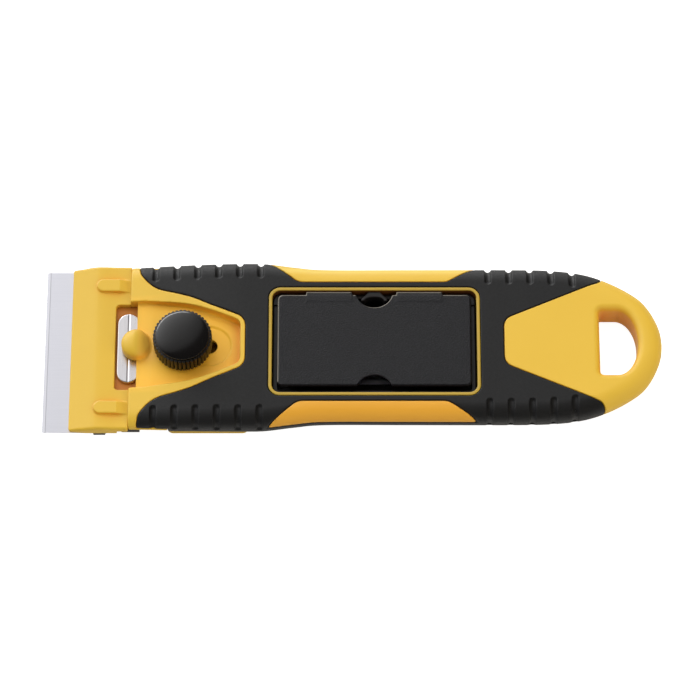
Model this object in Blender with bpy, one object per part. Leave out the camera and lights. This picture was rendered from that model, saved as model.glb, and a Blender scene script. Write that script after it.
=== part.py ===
"""Hand scraper with a retracting blade, a two shot handle and a store for spare blades.

+X runs from the blade to the hanging hole, +Y is the hinge side of the lid and +Z is up.
The origin lies under the middle of the whole tool, on the surface that it rests on.
"""
import math

import bmesh
import bpy
from mathutils import Vector

# Clearance between pieces, and how far a cutter runs past what it cuts
FIT = 0.0003
OVERRUN = 0.004
WELD = 0.000002
SHARP_ANGLE = math.radians(35)

# The blade, which sets the width of the whole tool and the size of the store
BLADE_WIDTH = 0.0600
BLADE_LENGTH = 0.0245
BLADE_THICKNESS = 0.0004
BLADE_EDGE = 0.0010
BLADE_TRAVEL = 0.0090
BLADE_LEVEL = 0.0029
BLADE_HOLE_RADIUS = 0.0020
BLADE_HOLE_REAR_MARGIN = 0.0039
BLADE_HOLE_MARGIN = 0.0100

# Store for spare blades
STORE_END_ROOM = 0.0047
STORE_SIDE_ROOM = 0.00675
STORE_LENGTH = BLADE_WIDTH + 2 * STORE_END_ROOM
STORE_WIDTH = BLADE_LENGTH + 2 * STORE_SIDE_ROOM
RIM_WALL = 0.0011

# How far the head reaches past the blade's end, and the handle past the head
HEAD_OVERHANG = 0.0005
HANDLE_SWELL = 0.0003
HEAD_HALF_WIDTH = BLADE_WIDTH / 2 + HEAD_OVERHANG
HANDLE_HALF_WIDTH = HEAD_HALF_WIDTH + HANDLE_SWELL

# Handle moulding: its nose with the knob, the store and the tail
NOSE_LENGTH = 0.0484
TAIL_LENGTH = 0.0629
HANDLE_LENGTH = NOSE_LENGTH + STORE_LENGTH + TAIL_LENGTH
HANDLE_THICKNESS = 0.0124
HANDLE_EDGE_ROUND = 0.0060
WIDEST_LEVEL_SHARE = 0.645
NOSE_THICKNESS = 0.0096
NOSE_RISE_LENGTH = 0.0397
# Half outline: shares of the length, then shares of the step from waist to nose width
NOSE_OUTLINE_SHARES = [
    (0.0, 0.667), (0.087, 0.833), (0.17, 0.958), (0.225, 1.0), (0.26, 0.896), (0.312, 0.375), (0.37, 0.0)]
# The same behind the waist: shares of the length, then shares of the waist's width
TAIL_OUTLINE_SHARES = [
    (0.53, 1.0), (0.727, 1.0), (0.802, 0.984), (0.853, 0.937), (0.893, 0.853), (0.93, 0.732),
    (0.961, 0.591), (0.979, 0.444), (0.9915, 0.282), (0.998, 0.141), (1.0, 0.0)]
# Facets: steps of curves and sides of round pieces
OUTLINE_STEPS = 2
ROUND_STEPS = 6
CORNER_STEPS = 3
GROOVE_STEPS = 6
GROOVE_SIDES = 8
DOME_STEPS = 6
HOLE_STEPS = 14
SCREW_SIDES = 12
SCREW_HEAD_SIDES = 16
STEM_SIDES = 16
RIVET_SIDES = 20
STUD_SIDES = 24
NUB_SIDES = 32
DISC_SIDES = 40
HEX_SIDES = 6

# Rubber grip moulded over the handle
GRIP_THICKNESS = 0.0015
GRIP_FOOT_BAND = 0.0080
PARTING_CORNER = 0.0030
NOSE_PARTING_SHARES = [
    (0.2169, 0.2867), (0.1538, 0.4416), (0.1179, 0.539), (0.0874, 0.5974),
    (0.0587, 0.643), (0.0412, 0.698), (0.0254, 0.792), (0.0169, 0.883), (0.0142, 1.07)]
TAIL_PARTING_SHARES = [(0.7039, 0.244), (0.7222, 0.338), (0.8893, 0.796), (0.8921, 1.16)]
WAIST_BAND = 0.0022
WAIST_PANEL_DEPTH = 0.0061
WAIST_PANEL_SETBACK = 0.0100
WAIST_PANEL_SLANT = 0.0122
WAIST_PANEL_CORNER = 0.0050
WAIST_PANEL_BOTTOM = 0.0046
GROOVE_RADIUS = 0.00115
GROOVE_DEPTH = 0.0009
GROOVE_PITCH = 0.00717
GROOVE_START_ANGLE = math.radians(88)
GROOVE_END_ANGLE = math.radians(-24)
FRONT_GROOVE_SETBACK = 0.0085
FRONT_GROOVES = 6
REAR_GROOVE_TO_TAIL = 0.0588
REAR_GROOVES = 5

# Deck round the knob
DECK_FLOOR = 0.0081
DECK_FRONT_SETBACK = 0.0024
DECK_RAMP_LENGTH = 0.0053
DECK_RAMP_DROP = 0.0004
LUG_ROUND = 0.0010
DECK_WALL = 0.00155
POCKET_HALF_WIDTH = 0.01606
NUB_RADIUS = 0.00515
NUB_HEIGHT = 0.0057
NUB_SHOULDER = 0.0029
NUB_CREST_SETBACK = 0.0009
KNOB_SETBACK = 0.0182
SLOT_CLEARANCE = FIT
WASHER_RECESS_DEPTH = 0.0005

# Knob and its stud
KNOB_RADIUS = 0.0100
KNOB_TEETH = 44
KNOB_TOOTH_DEPTH = 0.0005
KNOB_HEIGHT = 0.0068
KNOB_EDGE = 0.0004
CAP_RADIUS = 0.00915
CAP_CROWN = 0.0023
CAP_EDGE = 0.0004
CAP_SPIGOT_RADIUS = 0.0075
CAP_SPIGOT_DEPTH = 0.0027
STUD_RADIUS = 0.00235
STUD_HEAD_RADIUS = 0.0042
STUD_HEAD_HEIGHT = 0.0024
WASHER_RADIUS = 0.0067
WASHER_THICKNESS = 0.0010
NUT_SIDE = 0.0080
NUT_THICKNESS = 0.0027

# What carries the blade
BED_THICKNESS = 0.0017
BED_FRONT_SETBACK = 0.0120
BED_MARGIN = 0.0025
BED_BAR_MARGIN = 0.0012
BED_BAR_LENGTH = 0.0061
BED_REAR_GAP = 0.0003
BED_LUG_MARGIN = 0.0002
BED_LUG_SETBACK = 0.0165
BED_LUG_LENGTH = 0.0055
BED_LUG_SLOPE = 0.0008
SLIDER_THICKNESS = 0.0014
SLIDER_FRONT_SETBACK = 0.0140
SLIDER_BLOCK_HALF_WIDTH = 0.0134
SLIDER_BLOCK_HEIGHT = 0.0038
SLIDER_BLOCK_TAIL = 0.0085
KEY_HALF_WIDTH = 0.0039
KEY_HALF_LENGTH = 0.0129
KEY_HEIGHT = 0.0012
KEY_EDGE = 0.0004
KEY_LEAD = 0.0005
KEY_STEM_RADIUS = 0.0014
KEY_STEM_OFFSET = 0.0080
RIVET_RADIUS = 0.0015
RIVET_HEAD_RADIUS = 0.0030
RIVET_HEAD_HEIGHT = 0.0006

# Head cover over the blade
HEAD_SHORTFALL = 0.00435
HEAD_CORNER_TAPER = 0.0005
HEAD_TAPER_LENGTH = 0.0058
HEAD_LIP = 0.0016
HEAD_PLATE = 0.0020
HEAD_CREST_RISE = 0.0003
HEAD_CREST_SETBACK = 0.00865
HEAD_CREST_ROUND = 0.0014
HEAD_CREST_SAG = 0.00015
HEAD_SIDE_ROUND = 0.0010
HEAD_WALL = 0.0018
HEAD_CAVITY_SETBACK = 0.0046
HEAD_WALL_SHORTFALL = 0.0038
WINDOW_LEAD = 0.00495
WINDOW_HALF_WIDTH = 0.0159
WINDOW_CORNER = 0.0013
RIB_LENGTH = 0.0117
RIB_MARGIN = 0.0077
RIB_HALF_WIDTH = 0.0023
RIB_CORNER = 0.0021
RIB_HEIGHT = 0.0014
RIB_FLAT_LENGTH = 0.0082
ARM_MARGIN = 0.0043
ARM_LENGTH = 0.0117

# Cover under the blade carriage
BASE_THICKNESS = 0.0016
BASE_LENGTH = 0.0275
BASE_MARGIN = 0.0020
BASE_SETBACK = 0.0130
BASE_CORNER = 0.0020
SCREW_RADIUS = 0.0012
SCREW_HEAD_RADIUS = 0.0024
SCREW_HEAD_HEIGHT = 0.0006
SCREW_SINK = 0.0003
SCREW_GRIP = 0.0048
BASE_SCREW_INSET = 0.0052
BASE_SCREW_MARGIN = 0.0078
ARM_SCREW_SETBACK = 0.0062
ARM_SCREW_GRIP = 0.0022
ARM_INSET = 0.0011

# Tray and lid of the store
STORE_CORNER = 0.0020
STORE_FLOOR = 0.0015
TRAY_WALL = 0.0014
TRAY_FLOOR = 0.0012
LID_SINK = 0.0003
LID_THICKNESS = 0.0012
LID_GAP = 0.00185
LID_SIDE_GAP = 0.0015
LID_BEVEL = 0.0013
LID_BEVEL_DROP = 0.0007
LID_CORNER = 0.0010
LOBE_RADIUS = 0.0016
LOBE_RISE = 0.0003
LOBE_LENGTH = 0.0157
LOBE_OFFSET = 0.01535
TRAY_WALL_DROP = 0.0015
TRAY_POST_DROP = 0.0008
TRAY_POST_LENGTH = 0.0057
TRAY_POST_WIDTH = 0.0045
CRADLE_FLOOR = 0.0010
NOTCH_RADIUS = 0.00635
TONGUE_TIP_WIDTH = 0.0045
TONGUE_ROOT_WIDTH = 0.0090
TONGUE_REACH = 0.0034
TONGUE_DROP = 0.0008
SPARE_BLADES = 3

# Tail with its hanging hole
HOLE_TO_TAIL = 0.02125
HOLE_HALF_WIDTH = 0.0120
HOLE_STRAIGHT = 0.0058
HOLE_ROUND_LENGTH = 0.0069
HOLE_CORNER = 0.0013
HOLE_ROUND = 0.0014

# Sizes, levels and places that follow from the sizes above
WAIST_PANEL_Y = STORE_WIDTH / 2 + RIM_WALL + WAIST_BAND
WAIST_HALF_WIDTH = WAIST_PANEL_Y + WAIST_PANEL_DEPTH
BED_HALF_WIDTH = BLADE_WIDTH / 2 - BED_MARGIN
BED_BAR_HALF_WIDTH = BLADE_WIDTH / 2 - BED_BAR_MARGIN
BED_LUG_HALF_WIDTH = BLADE_WIDTH / 2 - BED_LUG_MARGIN
SLIDER_HALF_WIDTH = HEAD_HALF_WIDTH - HEAD_WALL - FIT
BASE_HALF_WIDTH = HANDLE_HALF_WIDTH - BASE_MARGIN
ARM_HALF_WIDTH = HANDLE_HALF_WIDTH - ARM_MARGIN
ARM_NEAR = WINDOW_HALF_WIDTH + ARM_INSET
RIB_CENTRE = HEAD_HALF_WIDTH - RIB_MARGIN
BLADE_HOLE_SETBACK = BLADE_LENGTH - BLADE_HOLE_REAR_MARGIN
HEAD_LENGTH = BLADE_LENGTH - HEAD_SHORTFALL
HEAD_WALL_LENGTH = HEAD_LENGTH - HEAD_WALL_SHORTFALL
OVERALL_LENGTH = HANDLE_LENGTH + HEAD_LENGTH + BLADE_TRAVEL
TAIL_X = OVERALL_LENGTH / 2
NOSE_X = TAIL_X - HANDLE_LENGTH
HEAD_FRONT_X = NOSE_X - HEAD_LENGTH
EDGE_X = HEAD_FRONT_X - BLADE_TRAVEL
KNOB_X = NOSE_X + KNOB_SETBACK
SLOT_HALF_WIDTH = STUD_RADIUS + SLOT_CLEARANCE
BLADE_TOP = BLADE_LEVEL + BLADE_THICKNESS
SLIDER_LEVEL = BLADE_TOP + FIT
SLIDER_TOP = SLIDER_LEVEL + SLIDER_THICKNESS
HEAD_UNDERSIDE = SLIDER_TOP + FIT
HEAD_TOP = HEAD_UNDERSIDE + HEAD_PLATE
BLOCK_LEVEL = BASE_THICKNESS + 2 * FIT
BLOCK_TOP = BLOCK_LEVEL + SLIDER_BLOCK_HEIGHT
STORE_X = TAIL_X - TAIL_LENGTH - STORE_LENGTH / 2
LID_TOP = HANDLE_THICKNESS - LID_SINK
HINGE_Z = LID_TOP + LOBE_RISE - LOBE_RADIUS
HINGE_Y = STORE_WIDTH / 2 - FIT - LOBE_RADIUS
BASE_X = NOSE_X + BASE_SETBACK
BASE_END_X = BASE_X + BASE_LENGTH
BED_REAR_X = BASE_X - BLADE_TRAVEL - BED_REAR_GAP
BLOCK_END_X = KNOB_X + SLIDER_BLOCK_TAIL
DECK_FRONT_X = NOSE_X + DECK_FRONT_SETBACK
KEY_X = NOSE_X - KEY_LEAD
WINDOW_X = NOSE_X - WINDOW_LEAD
ARM_END_X = NOSE_X + ARM_LENGTH
ARM_SCREW_X = NOSE_X + ARM_SCREW_SETBACK
RIVET_X = EDGE_X + BLADE_HOLE_SETBACK
RIVET_Y = BLADE_WIDTH / 2 - BLADE_HOLE_MARGIN
BED_LEVEL = BLADE_LEVEL - FIT - BED_THICKNESS
KEY_LEVEL = SLIDER_TOP + FIT
WASHER_LEVEL = DECK_FLOOR - WASHER_RECESS_DEPTH + FIT
KNOB_LEVEL = WASHER_LEVEL + WASHER_THICKNESS + FIT
KNOB_TOP = KNOB_LEVEL + KNOB_HEIGHT
CAP_LEVEL = KNOB_TOP + FIT
KNOB_RECESS_LEVEL = KNOB_TOP - CAP_SPIGOT_DEPTH - FIT
STUD_HEAD_LEVEL = KNOB_RECESS_LEVEL - FIT - STUD_HEAD_HEIGHT
LID_UNDERSIDE = LID_TOP - LID_THICKNESS
TRAY_LEVEL = STORE_FLOOR + FIT
TRAY_WALL_TOP = HINGE_Z - TRAY_WALL_DROP
TRAY_POST_TOP = HINGE_Z - TRAY_POST_DROP
ABOVE = KNOB_TOP + CAP_CROWN + OVERRUN


def material(name, colour, roughness, metallic=0.0):
    """A plain moulded or metal finish."""
    finish = bpy.data.materials.new(name)
    finish.use_nodes = True
    shader = finish.node_tree.nodes["Principled BSDF"]
    shader.inputs["Base Color"].default_value = (*colour, 1.0)
    shader.inputs["Roughness"].default_value = roughness
    shader.inputs["Metallic"].default_value = metallic
    return finish


def solid(name, points, faces):
    """A mesh object from points and faces, with its faces turned outward."""
    mesh = bpy.data.meshes.new(name)
    mesh.from_pydata([tuple(point) for point in points], [], faces)
    shape = bmesh.new()
    shape.from_mesh(mesh)
    bmesh.ops.recalc_face_normals(shape, faces=shape.faces)
    shape.to_mesh(mesh)
    shape.free()
    thing = bpy.data.objects.new(name, mesh)
    bpy.context.scene.collection.objects.link(thing)
    return thing


def stack(name, loops):
    """A closed solid from rings of equal count, each joined to the next and capped at both ends."""
    count = len(loops[0])
    points = [point for loop in loops for point in loop]
    faces = [list(range(count)), list(range(len(points) - count, len(points)))]
    for ring in range(len(loops) - 1):
        low = ring * count
        for index in range(count):
            after = (index + 1) % count
            faces.append([low + index, low + after, low + count + after, low + count + index])
    return solid(name, points, faces)


def prism(outline, low, high, name="prism"):
    """An upright prism over a plan outline."""
    return stack(name, [[(x, y, level) for x, y in outline] for level in (low, high)])


def side_prism(profile, half_width, name="side_prism"):
    """A prism across the tool from a side profile of x and z."""
    return stack(name, [[(x, y, z) for x, z in profile] for y in (-half_width, half_width)])


def block(low_x, high_x, low_y, high_y, low_z, high_z):
    """A plain rectangular solid."""
    return prism([(low_x, low_y), (high_x, low_y), (high_x, high_y), (low_x, high_y)], low_z, high_z)


def circle(x, y, radius, sides=32):
    """Plan points of a circle."""
    angles = [math.tau * index / sides for index in range(sides)]
    return [(x + radius * math.cos(angle), y + radius * math.sin(angle)) for angle in angles]


def disc(x, y, radius, low, high, sides=32):
    """An upright round solid."""
    return prism(circle(x, y, radius, sides), low, high)


def turned(x, y, profile, sides=48, name="turned"):
    """An upright turned solid from pairs of radius and height."""
    loops = []
    for radius, level in profile:
        loops.append([(px, py, level) for px, py in circle(x, y, radius, sides)])
    return stack(name, loops)


def barrel(low_x, high_x, y, z, radius, sides=STUD_SIDES):
    """A round solid along the tool."""
    ring = circle(y, z, radius, sides)
    return stack("barrel", [[(x, across, up) for across, up in ring] for x in (low_x, high_x)])


def rounded(corners, steps=5):
    """A closed outline from corners of x, y and fillet radius."""
    outline = []
    count = len(corners)
    for index, (x, y, radius) in enumerate(corners):
        here = Vector((x, y))
        if radius == 0:
            outline.append((x, y))
            continue
        back = (Vector(corners[index - 1][:2]) - here).normalized()
        ahead = (Vector(corners[(index + 1) % count][:2]) - here).normalized()
        half = back.angle(ahead) / 2
        reach = radius / math.tan(half)
        centre = here + (back + ahead).normalized() * (radius / math.sin(half))
        start = here + back * reach - centre
        sweep = math.pi - 2 * half
        if back.cross(ahead) > 0:
            sweep = -sweep
        for step in range(steps + 1):
            turn = sweep * step / steps
            turned_x = start.x * math.cos(turn) - start.y * math.sin(turn)
            turned_y = start.x * math.sin(turn) + start.y * math.cos(turn)
            outline.append((centre.x + turned_x, centre.y + turned_y))
    return outline


def rectangle(low_x, high_x, half_width, corner):
    """A rounded rectangle about the tool's centreline."""
    return rounded([(low_x, -half_width, corner), (high_x, -half_width, corner),
                    (high_x, half_width, corner), (low_x, half_width, corner)])


def stadium(x, half_width, half_length, steps=8):
    """An outline with round ends, long across the tool."""
    outline = []
    for end in (1, -1):
        for step in range(steps + 1):
            angle = math.pi * step / steps
            if end < 0:
                angle += math.pi
            centre = end * (half_length - half_width)
            outline.append((x + half_width * math.cos(angle), centre + half_width * math.sin(angle)))
    return outline


def combine(target, tool, operation):
    """Apply a Boolean to the target and remove the tool."""
    modifier = target.modifiers.new("combine", "BOOLEAN")
    modifier.operation = operation
    modifier.object = tool
    modifier.solver = "EXACT"
    depsgraph = bpy.context.evaluated_depsgraph_get()
    result = bpy.data.meshes.new_from_object(target.evaluated_get(depsgraph))
    target.modifiers.clear()
    old = target.data
    target.data = result
    bpy.data.meshes.remove(old)
    bpy.data.objects.remove(tool)
    return target


def join(target, *tools):
    """Union the tools into the target."""
    for tool in tools:
        combine(target, tool, "UNION")
    return target


def cut(target, *tools):
    """Cut the tools out of the target."""
    for tool in tools:
        combine(target, tool, "DIFFERENCE")
    return target


def gather(things):
    """Put separate solids into one object."""
    first = things[0]
    shape = bmesh.new()
    for thing in things:
        shape.from_mesh(thing.data)
    shape.to_mesh(first.data)
    shape.free()
    for thing in things[1:]:
        bpy.data.objects.remove(thing)
    return first


def settle(thing):
    """Clean a cut mesh: drop its double points and its faces without area."""
    shape = bmesh.new()
    shape.from_mesh(thing.data)
    bmesh.ops.remove_doubles(shape, verts=shape.verts, dist=WELD)
    bmesh.ops.dissolve_degenerate(shape, edges=shape.edges, dist=WELD)
    shape.to_mesh(thing.data)
    shape.free()
    return thing


def finish(thing, name, finish_material, parent=None):
    """Name a piece, give it its finish, shade it and hang it on its carrier."""
    settle(thing)
    thing.name = name
    thing.data.name = name
    thing.data.materials.clear()
    thing.data.materials.append(finish_material)
    thing.data.shade_smooth()
    thing.data.set_sharp_from_angle(angle=SHARP_ANGLE)
    if parent is not None:
        thing.data.transform(parent.matrix_world.inverted())
        thing.parent = parent
    return thing


def carrier(name, x, y, z):
    """An empty on a joint's axis."""
    empty = bpy.data.objects.new(name, None)
    empty.location = (x, y, z)
    bpy.context.scene.collection.objects.link(empty)
    bpy.context.view_layer.update()
    return empty


def signed_area(outline):
    """Twice the area of an outline, positive where it runs anticlockwise."""
    total = 0
    for index, (x, y) in enumerate(outline):
        before_x, before_y = outline[index - 1]
        total += before_x * y - x * before_y
    return total


def grown(outline, distance):
    """A closed outline moved outward by a distance, with mitred corners."""
    if signed_area(outline) < 0:
        outline = outline[::-1]
    moved = []
    count = len(outline)
    for index in range(count):
        here = Vector(outline[index])
        arriving = (here - Vector(outline[index - 1])).normalized()
        leaving = (Vector(outline[(index + 1) % count]) - here).normalized()
        first = Vector((arriving.y, -arriving.x))
        second = Vector((leaving.y, -leaving.x))
        middle = first + second
        moved.append(tuple(here + middle * (2 * distance / middle.length_squared)))
    return moved


def flared(outline, low, high, radius, steps=4):
    """A cutter for a through hole whose two rims are rounded."""
    turns = [math.pi / 2 * step / steps for step in range(steps + 1)]
    lower = [(radius * (1 - math.sin(turn)), low + radius * (1 - math.cos(turn))) for turn in turns]
    upper = [(grow, low + high - level) for grow, level in reversed(lower)]
    levels = [(radius, low - OVERRUN)] + lower + upper + [(radius, high + OVERRUN)]
    return stack("flared", [[(x, y, level) for x, y in grown(outline, grow)] for grow, level in levels])


def slot_outline(low_x, high_x, radius, steps=8):
    """An outline with round ends, long along the tool."""
    outline = []
    for x, start in ((high_x, -math.pi / 2), (low_x, math.pi / 2)):
        for step in range(steps + 1):
            angle = start + math.pi * step / steps
            outline.append((x + radius * math.cos(angle), radius * math.sin(angle)))
    return outline


def spline(points, steps):
    """A smooth line through points, with a number of steps between each two."""
    padded = [points[0]] + list(points) + [points[-1]]
    line = []
    for index in range(1, len(padded) - 2):
        before, start, end, after = (Vector(point) for point in padded[index - 1:index + 3])
        for step in range(steps):
            t = step / steps
            bend = (end - before) * t + (2 * before - 5 * start + 4 * end - after) * t * t
            twist = (3 * start - before - 3 * end + after) * t * t * t
            line.append(tuple(start + (bend + twist) / 2))
    line.append(tuple(points[-1]))
    return line


def on_handle(shares, width):
    """Plan points from shares of the handle's length and of a width."""
    return [(NOSE_X + along * HANDLE_LENGTH, across * width) for along, across in shares]


def side_line():
    """The handle's side from the nose to the tip of the tail."""
    swell = HANDLE_HALF_WIDTH - WAIST_HALF_WIDTH
    front = [(x, WAIST_HALF_WIDTH + y) for x, y in on_handle(NOSE_OUTLINE_SHARES, swell)]
    return spline(front + on_handle(TAIL_OUTLINE_SHARES, WAIST_HALF_WIDTH), OUTLINE_STEPS)


def half_outline():
    """The handle's outline on the hinge side, each point with its outward direction."""
    points = side_line()
    directed = []
    for index, (x, y) in enumerate(points):
        if index == 0:
            directed.append((Vector((x, y)), Vector((0, 1))))
            continue
        if index == len(points) - 1:
            directed.append((Vector((x, y)), Vector((1, 0))))
            continue
        along = Vector(points[index + 1]) - Vector(points[index - 1])
        directed.append((Vector((x, y)), Vector((-along.y, along.x)).normalized()))
    return directed


def half_width_at(x):
    """Half the handle's width at a place along it."""
    points = side_line()
    for (low_x, low_y), (high_x, high_y) in zip(points, points[1:]):
        if low_x <= x <= high_x:
            return low_y + (high_y - low_y) * (x - low_x) / (high_x - low_x)
    return points[0][1]


def top_at(x):
    """The level of the handle's top, which rises from the nose and then runs flat."""
    share = min(max((x - NOSE_X) / NOSE_RISE_LENGTH, 0), 1)
    return NOSE_THICKNESS + (HANDLE_THICKNESS - NOSE_THICKNESS) * math.sin(share * math.pi / 2)


def on_shoulder(x, angle, inset):
    """How far inside the outline, and how high, the rounded side lies at an angle above its widest level."""
    middle = top_at(x) * WIDEST_LEVEL_SHARE
    rise = top_at(x) - middle if angle > 0 else middle
    inward = HANDLE_EDGE_ROUND - (HANDLE_EDGE_ROUND - inset) * math.cos(angle)
    return inward, middle + (rise - inset) * math.sin(angle)


def envelope(inset=0.0):
    """The handle's outer form with rounded sides, or the same form shrunk by a wall."""
    half = half_outline()
    loops = []
    for step in range(-ROUND_STEPS // 2, ROUND_STEPS // 2 + 1):
        angle = math.pi * step / ROUND_STEPS
        side = []
        for place, outward in half:
            inward, level = on_shoulder(place.x, angle, inset)
            moved = place - outward * inward
            side.append((moved.x, moved.y, level))
        loops.append(side + [(x, -y, z) for x, y, z in reversed(side[:-1])])
    count = len(loops[0])
    tip = count // 2
    points = [point for loop in loops for point in loop]
    faces = []
    for ring in range(len(loops) - 1):
        low = ring * count
        for index in range(count - 1):
            faces.append([low + index, low + index + 1, low + count + index + 1, low + count + index])
    for base in (0, len(points) - count):
        for index in range(tip - 1):
            across = base + count - 1 - index
            faces.append([base + index, base + index + 1, across - 1, across])
        faces.append([base + tip - 1, base + tip, base + tip + 1])
    starts = [ring * count for ring in range(len(loops))]
    ends = [ring * count + count - 1 for ring in reversed(range(len(loops)))]
    faces.append(starts + ends)
    return solid("envelope", points, faces)


def mirrored(half):
    """A closed outline from its half on the hinge side."""
    return list(half) + [(x, -y) for x, y in reversed(half)]


def nose_outline():
    """The yellow deck's parting line, closed in front of the nose."""
    first, *rest = on_handle(NOSE_PARTING_SHARES, HANDLE_HALF_WIDTH)
    line = [first] + spline(rest, OUTLINE_STEPS)
    corners = [(*line[0], PARTING_CORNER)] + [(x, y, 0) for x, y in line[1:]]
    corners.append((NOSE_X - OVERRUN, line[-1][1], 0))
    return rounded(corners + [(x, -y, radius) for x, y, radius in reversed(corners)], steps=CORNER_STEPS)


def tail_outline():
    """The yellow tail's parting line, closed behind the tail."""
    line = on_handle(TAIL_PARTING_SHARES, WAIST_HALF_WIDTH)
    corners = [(TAIL_X + OVERRUN, line[-1][1], 0), (*line[3], 0), (*line[2], 0)]
    corners += [(*line[1], PARTING_CORNER), (*line[0], PARTING_CORNER / 2)]
    return rounded(corners + [(x, -y, radius) for x, y, radius in reversed(corners)], steps=CORNER_STEPS)


def waist_outline(side):
    """One waist panel's parting line."""
    inner_y = WAIST_PANEL_Y
    outer_y = WAIST_HALF_WIDTH + OVERRUN
    inner = STORE_LENGTH / 2 - WAIST_PANEL_SETBACK
    outer = inner + WAIST_PANEL_SLANT
    line = [(STORE_X - outer, outer_y), (STORE_X - inner, inner_y), (STORE_X + inner, inner_y),
            (STORE_X + outer, outer_y)]
    radii = (0, WAIST_PANEL_CORNER, WAIST_PANEL_CORNER, 0)
    return rounded([(x, side * y, radius) for (x, y), radius in zip(line, radii)], steps=CORNER_STEPS)


def foot_outline():
    """The flat foot left inside the band of rubber that wraps under the handle."""
    half = [tuple(place - outward * GRIP_FOOT_BAND) for place, outward in half_outline()]
    return half + [(x, -y) for x, y in reversed(half[:-1])]


def store_outline(grow=0.0):
    """The pocket for the spare blade tray."""
    half = STORE_LENGTH / 2
    return grown(rectangle(STORE_X - half, STORE_X + half, STORE_WIDTH / 2, STORE_CORNER), grow)


def hard_regions(grow):
    """Prisms over every place where the hard core comes through the rubber."""
    above = HANDLE_THICKNESS + OVERRUN
    regions = [prism(grown(nose_outline(), grow), -OVERRUN, above)]
    regions.append(prism(grown(tail_outline(), grow), -OVERRUN, above))
    for side in (1, -1):
        regions.append(prism(grown(waist_outline(side), grow), WAIST_PANEL_BOTTOM - grow, above))
    regions.append(prism(store_outline(RIM_WALL + grow), HANDLE_THICKNESS / 2, above))
    regions.append(prism(grown(foot_outline(), grow), -OVERRUN, HANDLE_THICKNESS / 2))
    return regions


def thumb_grooves():
    """Round cutters that wrap over the shoulders of the rubber."""
    places = [NOSE_X + FRONT_GROOVE_SETBACK + GROOVE_PITCH * index for index in range(FRONT_GROOVES)]
    places += [TAIL_X - REAR_GROOVE_TO_TAIL + GROOVE_PITCH * index for index in range(REAR_GROOVES)]
    cutters = []
    for x in places:
        for side in (1, -1):
            loops = []
            for step in range(GROOVE_STEPS + 1):
                angle = GROOVE_START_ANGLE + (GROOVE_END_ANGLE - GROOVE_START_ANGLE) * step / GROOVE_STEPS
                inward, middle_z = on_shoulder(x, angle, GROOVE_DEPTH - GROOVE_RADIUS)
                middle_y = half_width_at(x) - inward
                loop = []
                for across, out in circle(0, 0, GROOVE_RADIUS, GROOVE_SIDES):
                    y = middle_y + out * math.cos(angle)
                    loop.append((x + across, side * y, middle_z + out * math.sin(angle)))
                loops.append(loop)
            cutters.append(stack("groove", loops))
    return gather(cutters)


def base_screw_places():
    """Plan places of the screws through the base cover."""
    ends = (BASE_X + BASE_SCREW_INSET, BASE_END_X - BASE_SCREW_INSET)
    return [(x, side * (BASE_HALF_WIDTH - BASE_SCREW_MARGIN)) for x in ends for side in (1, -1)]


def arm_screw_places():
    """Plan places of the screws through the arms of the head cover."""
    middle = (ARM_NEAR + ARM_HALF_WIDTH) / 2
    return [(ARM_SCREW_X, side * middle) for side in (1, -1)]


def front_relief():
    """The space under the nose in which the carriage slides, open to the sides."""
    wide = HANDLE_HALF_WIDTH + OVERRUN
    return block(NOSE_X - OVERRUN, BASE_X, -wide, wide, -OVERRUN, SLIDER_TOP + FIT)


def base_recess():
    """The seat of the base cover."""
    outline = rectangle(BASE_X - OVERRUN, BASE_END_X + FIT, BASE_HALF_WIDTH + FIT, BASE_CORNER)
    return prism(outline, -OVERRUN, BASE_THICKNESS + FIT)


def deck_pocket():
    """The sunk deck: its side walls follow the parting line at one wall's distance."""
    wall = grown(nose_outline(), -DECK_WALL)
    limit = POCKET_HALF_WIDTH
    outline = [(x, max(-limit, min(limit, y))) for x, y in wall if abs(y) < limit or x > KNOB_X - OVERRUN]
    outline = [point for point in outline if point[0] > NOSE_X]
    far = [point for point in outline if point[1] > 0]
    near = [point for point in outline if point[1] < 0]
    far.sort(key=lambda point: point[0])
    near.sort(key=lambda point: -point[0])
    front = NOSE_X - OVERRUN
    return prism([(front, limit)] + far + near + [(front, -limit)], DECK_FLOOR, ABOVE)


def lug_round():
    """The softened front edges of the lugs beside the deck."""
    top = top_at(NOSE_X)
    profile = [(NOSE_X - OVERRUN, top - LUG_ROUND)]
    for step in range(CORNER_STEPS + 1):
        angle = math.pi / 2 * step / CORNER_STEPS
        profile.append((NOSE_X + LUG_ROUND * (1 - math.cos(angle)), top - LUG_ROUND * (1 - math.sin(angle))))
    profile += [(NOSE_X + LUG_ROUND, ABOVE), (NOSE_X - OVERRUN, ABOVE)]
    return side_prism(profile, HANDLE_HALF_WIDTH + OVERRUN)


def deck_ramp():
    """The lit slope at the front edge of the deck."""
    front = DECK_FRONT_X - FIT
    profile = [(front, DECK_FLOOR - DECK_RAMP_DROP), (DECK_FRONT_X + DECK_RAMP_LENGTH, DECK_FLOOR)]
    profile += [(DECK_FRONT_X + DECK_RAMP_LENGTH, ABOVE), (front, ABOVE)]
    return side_prism(profile, POCKET_HALF_WIDTH)


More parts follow.
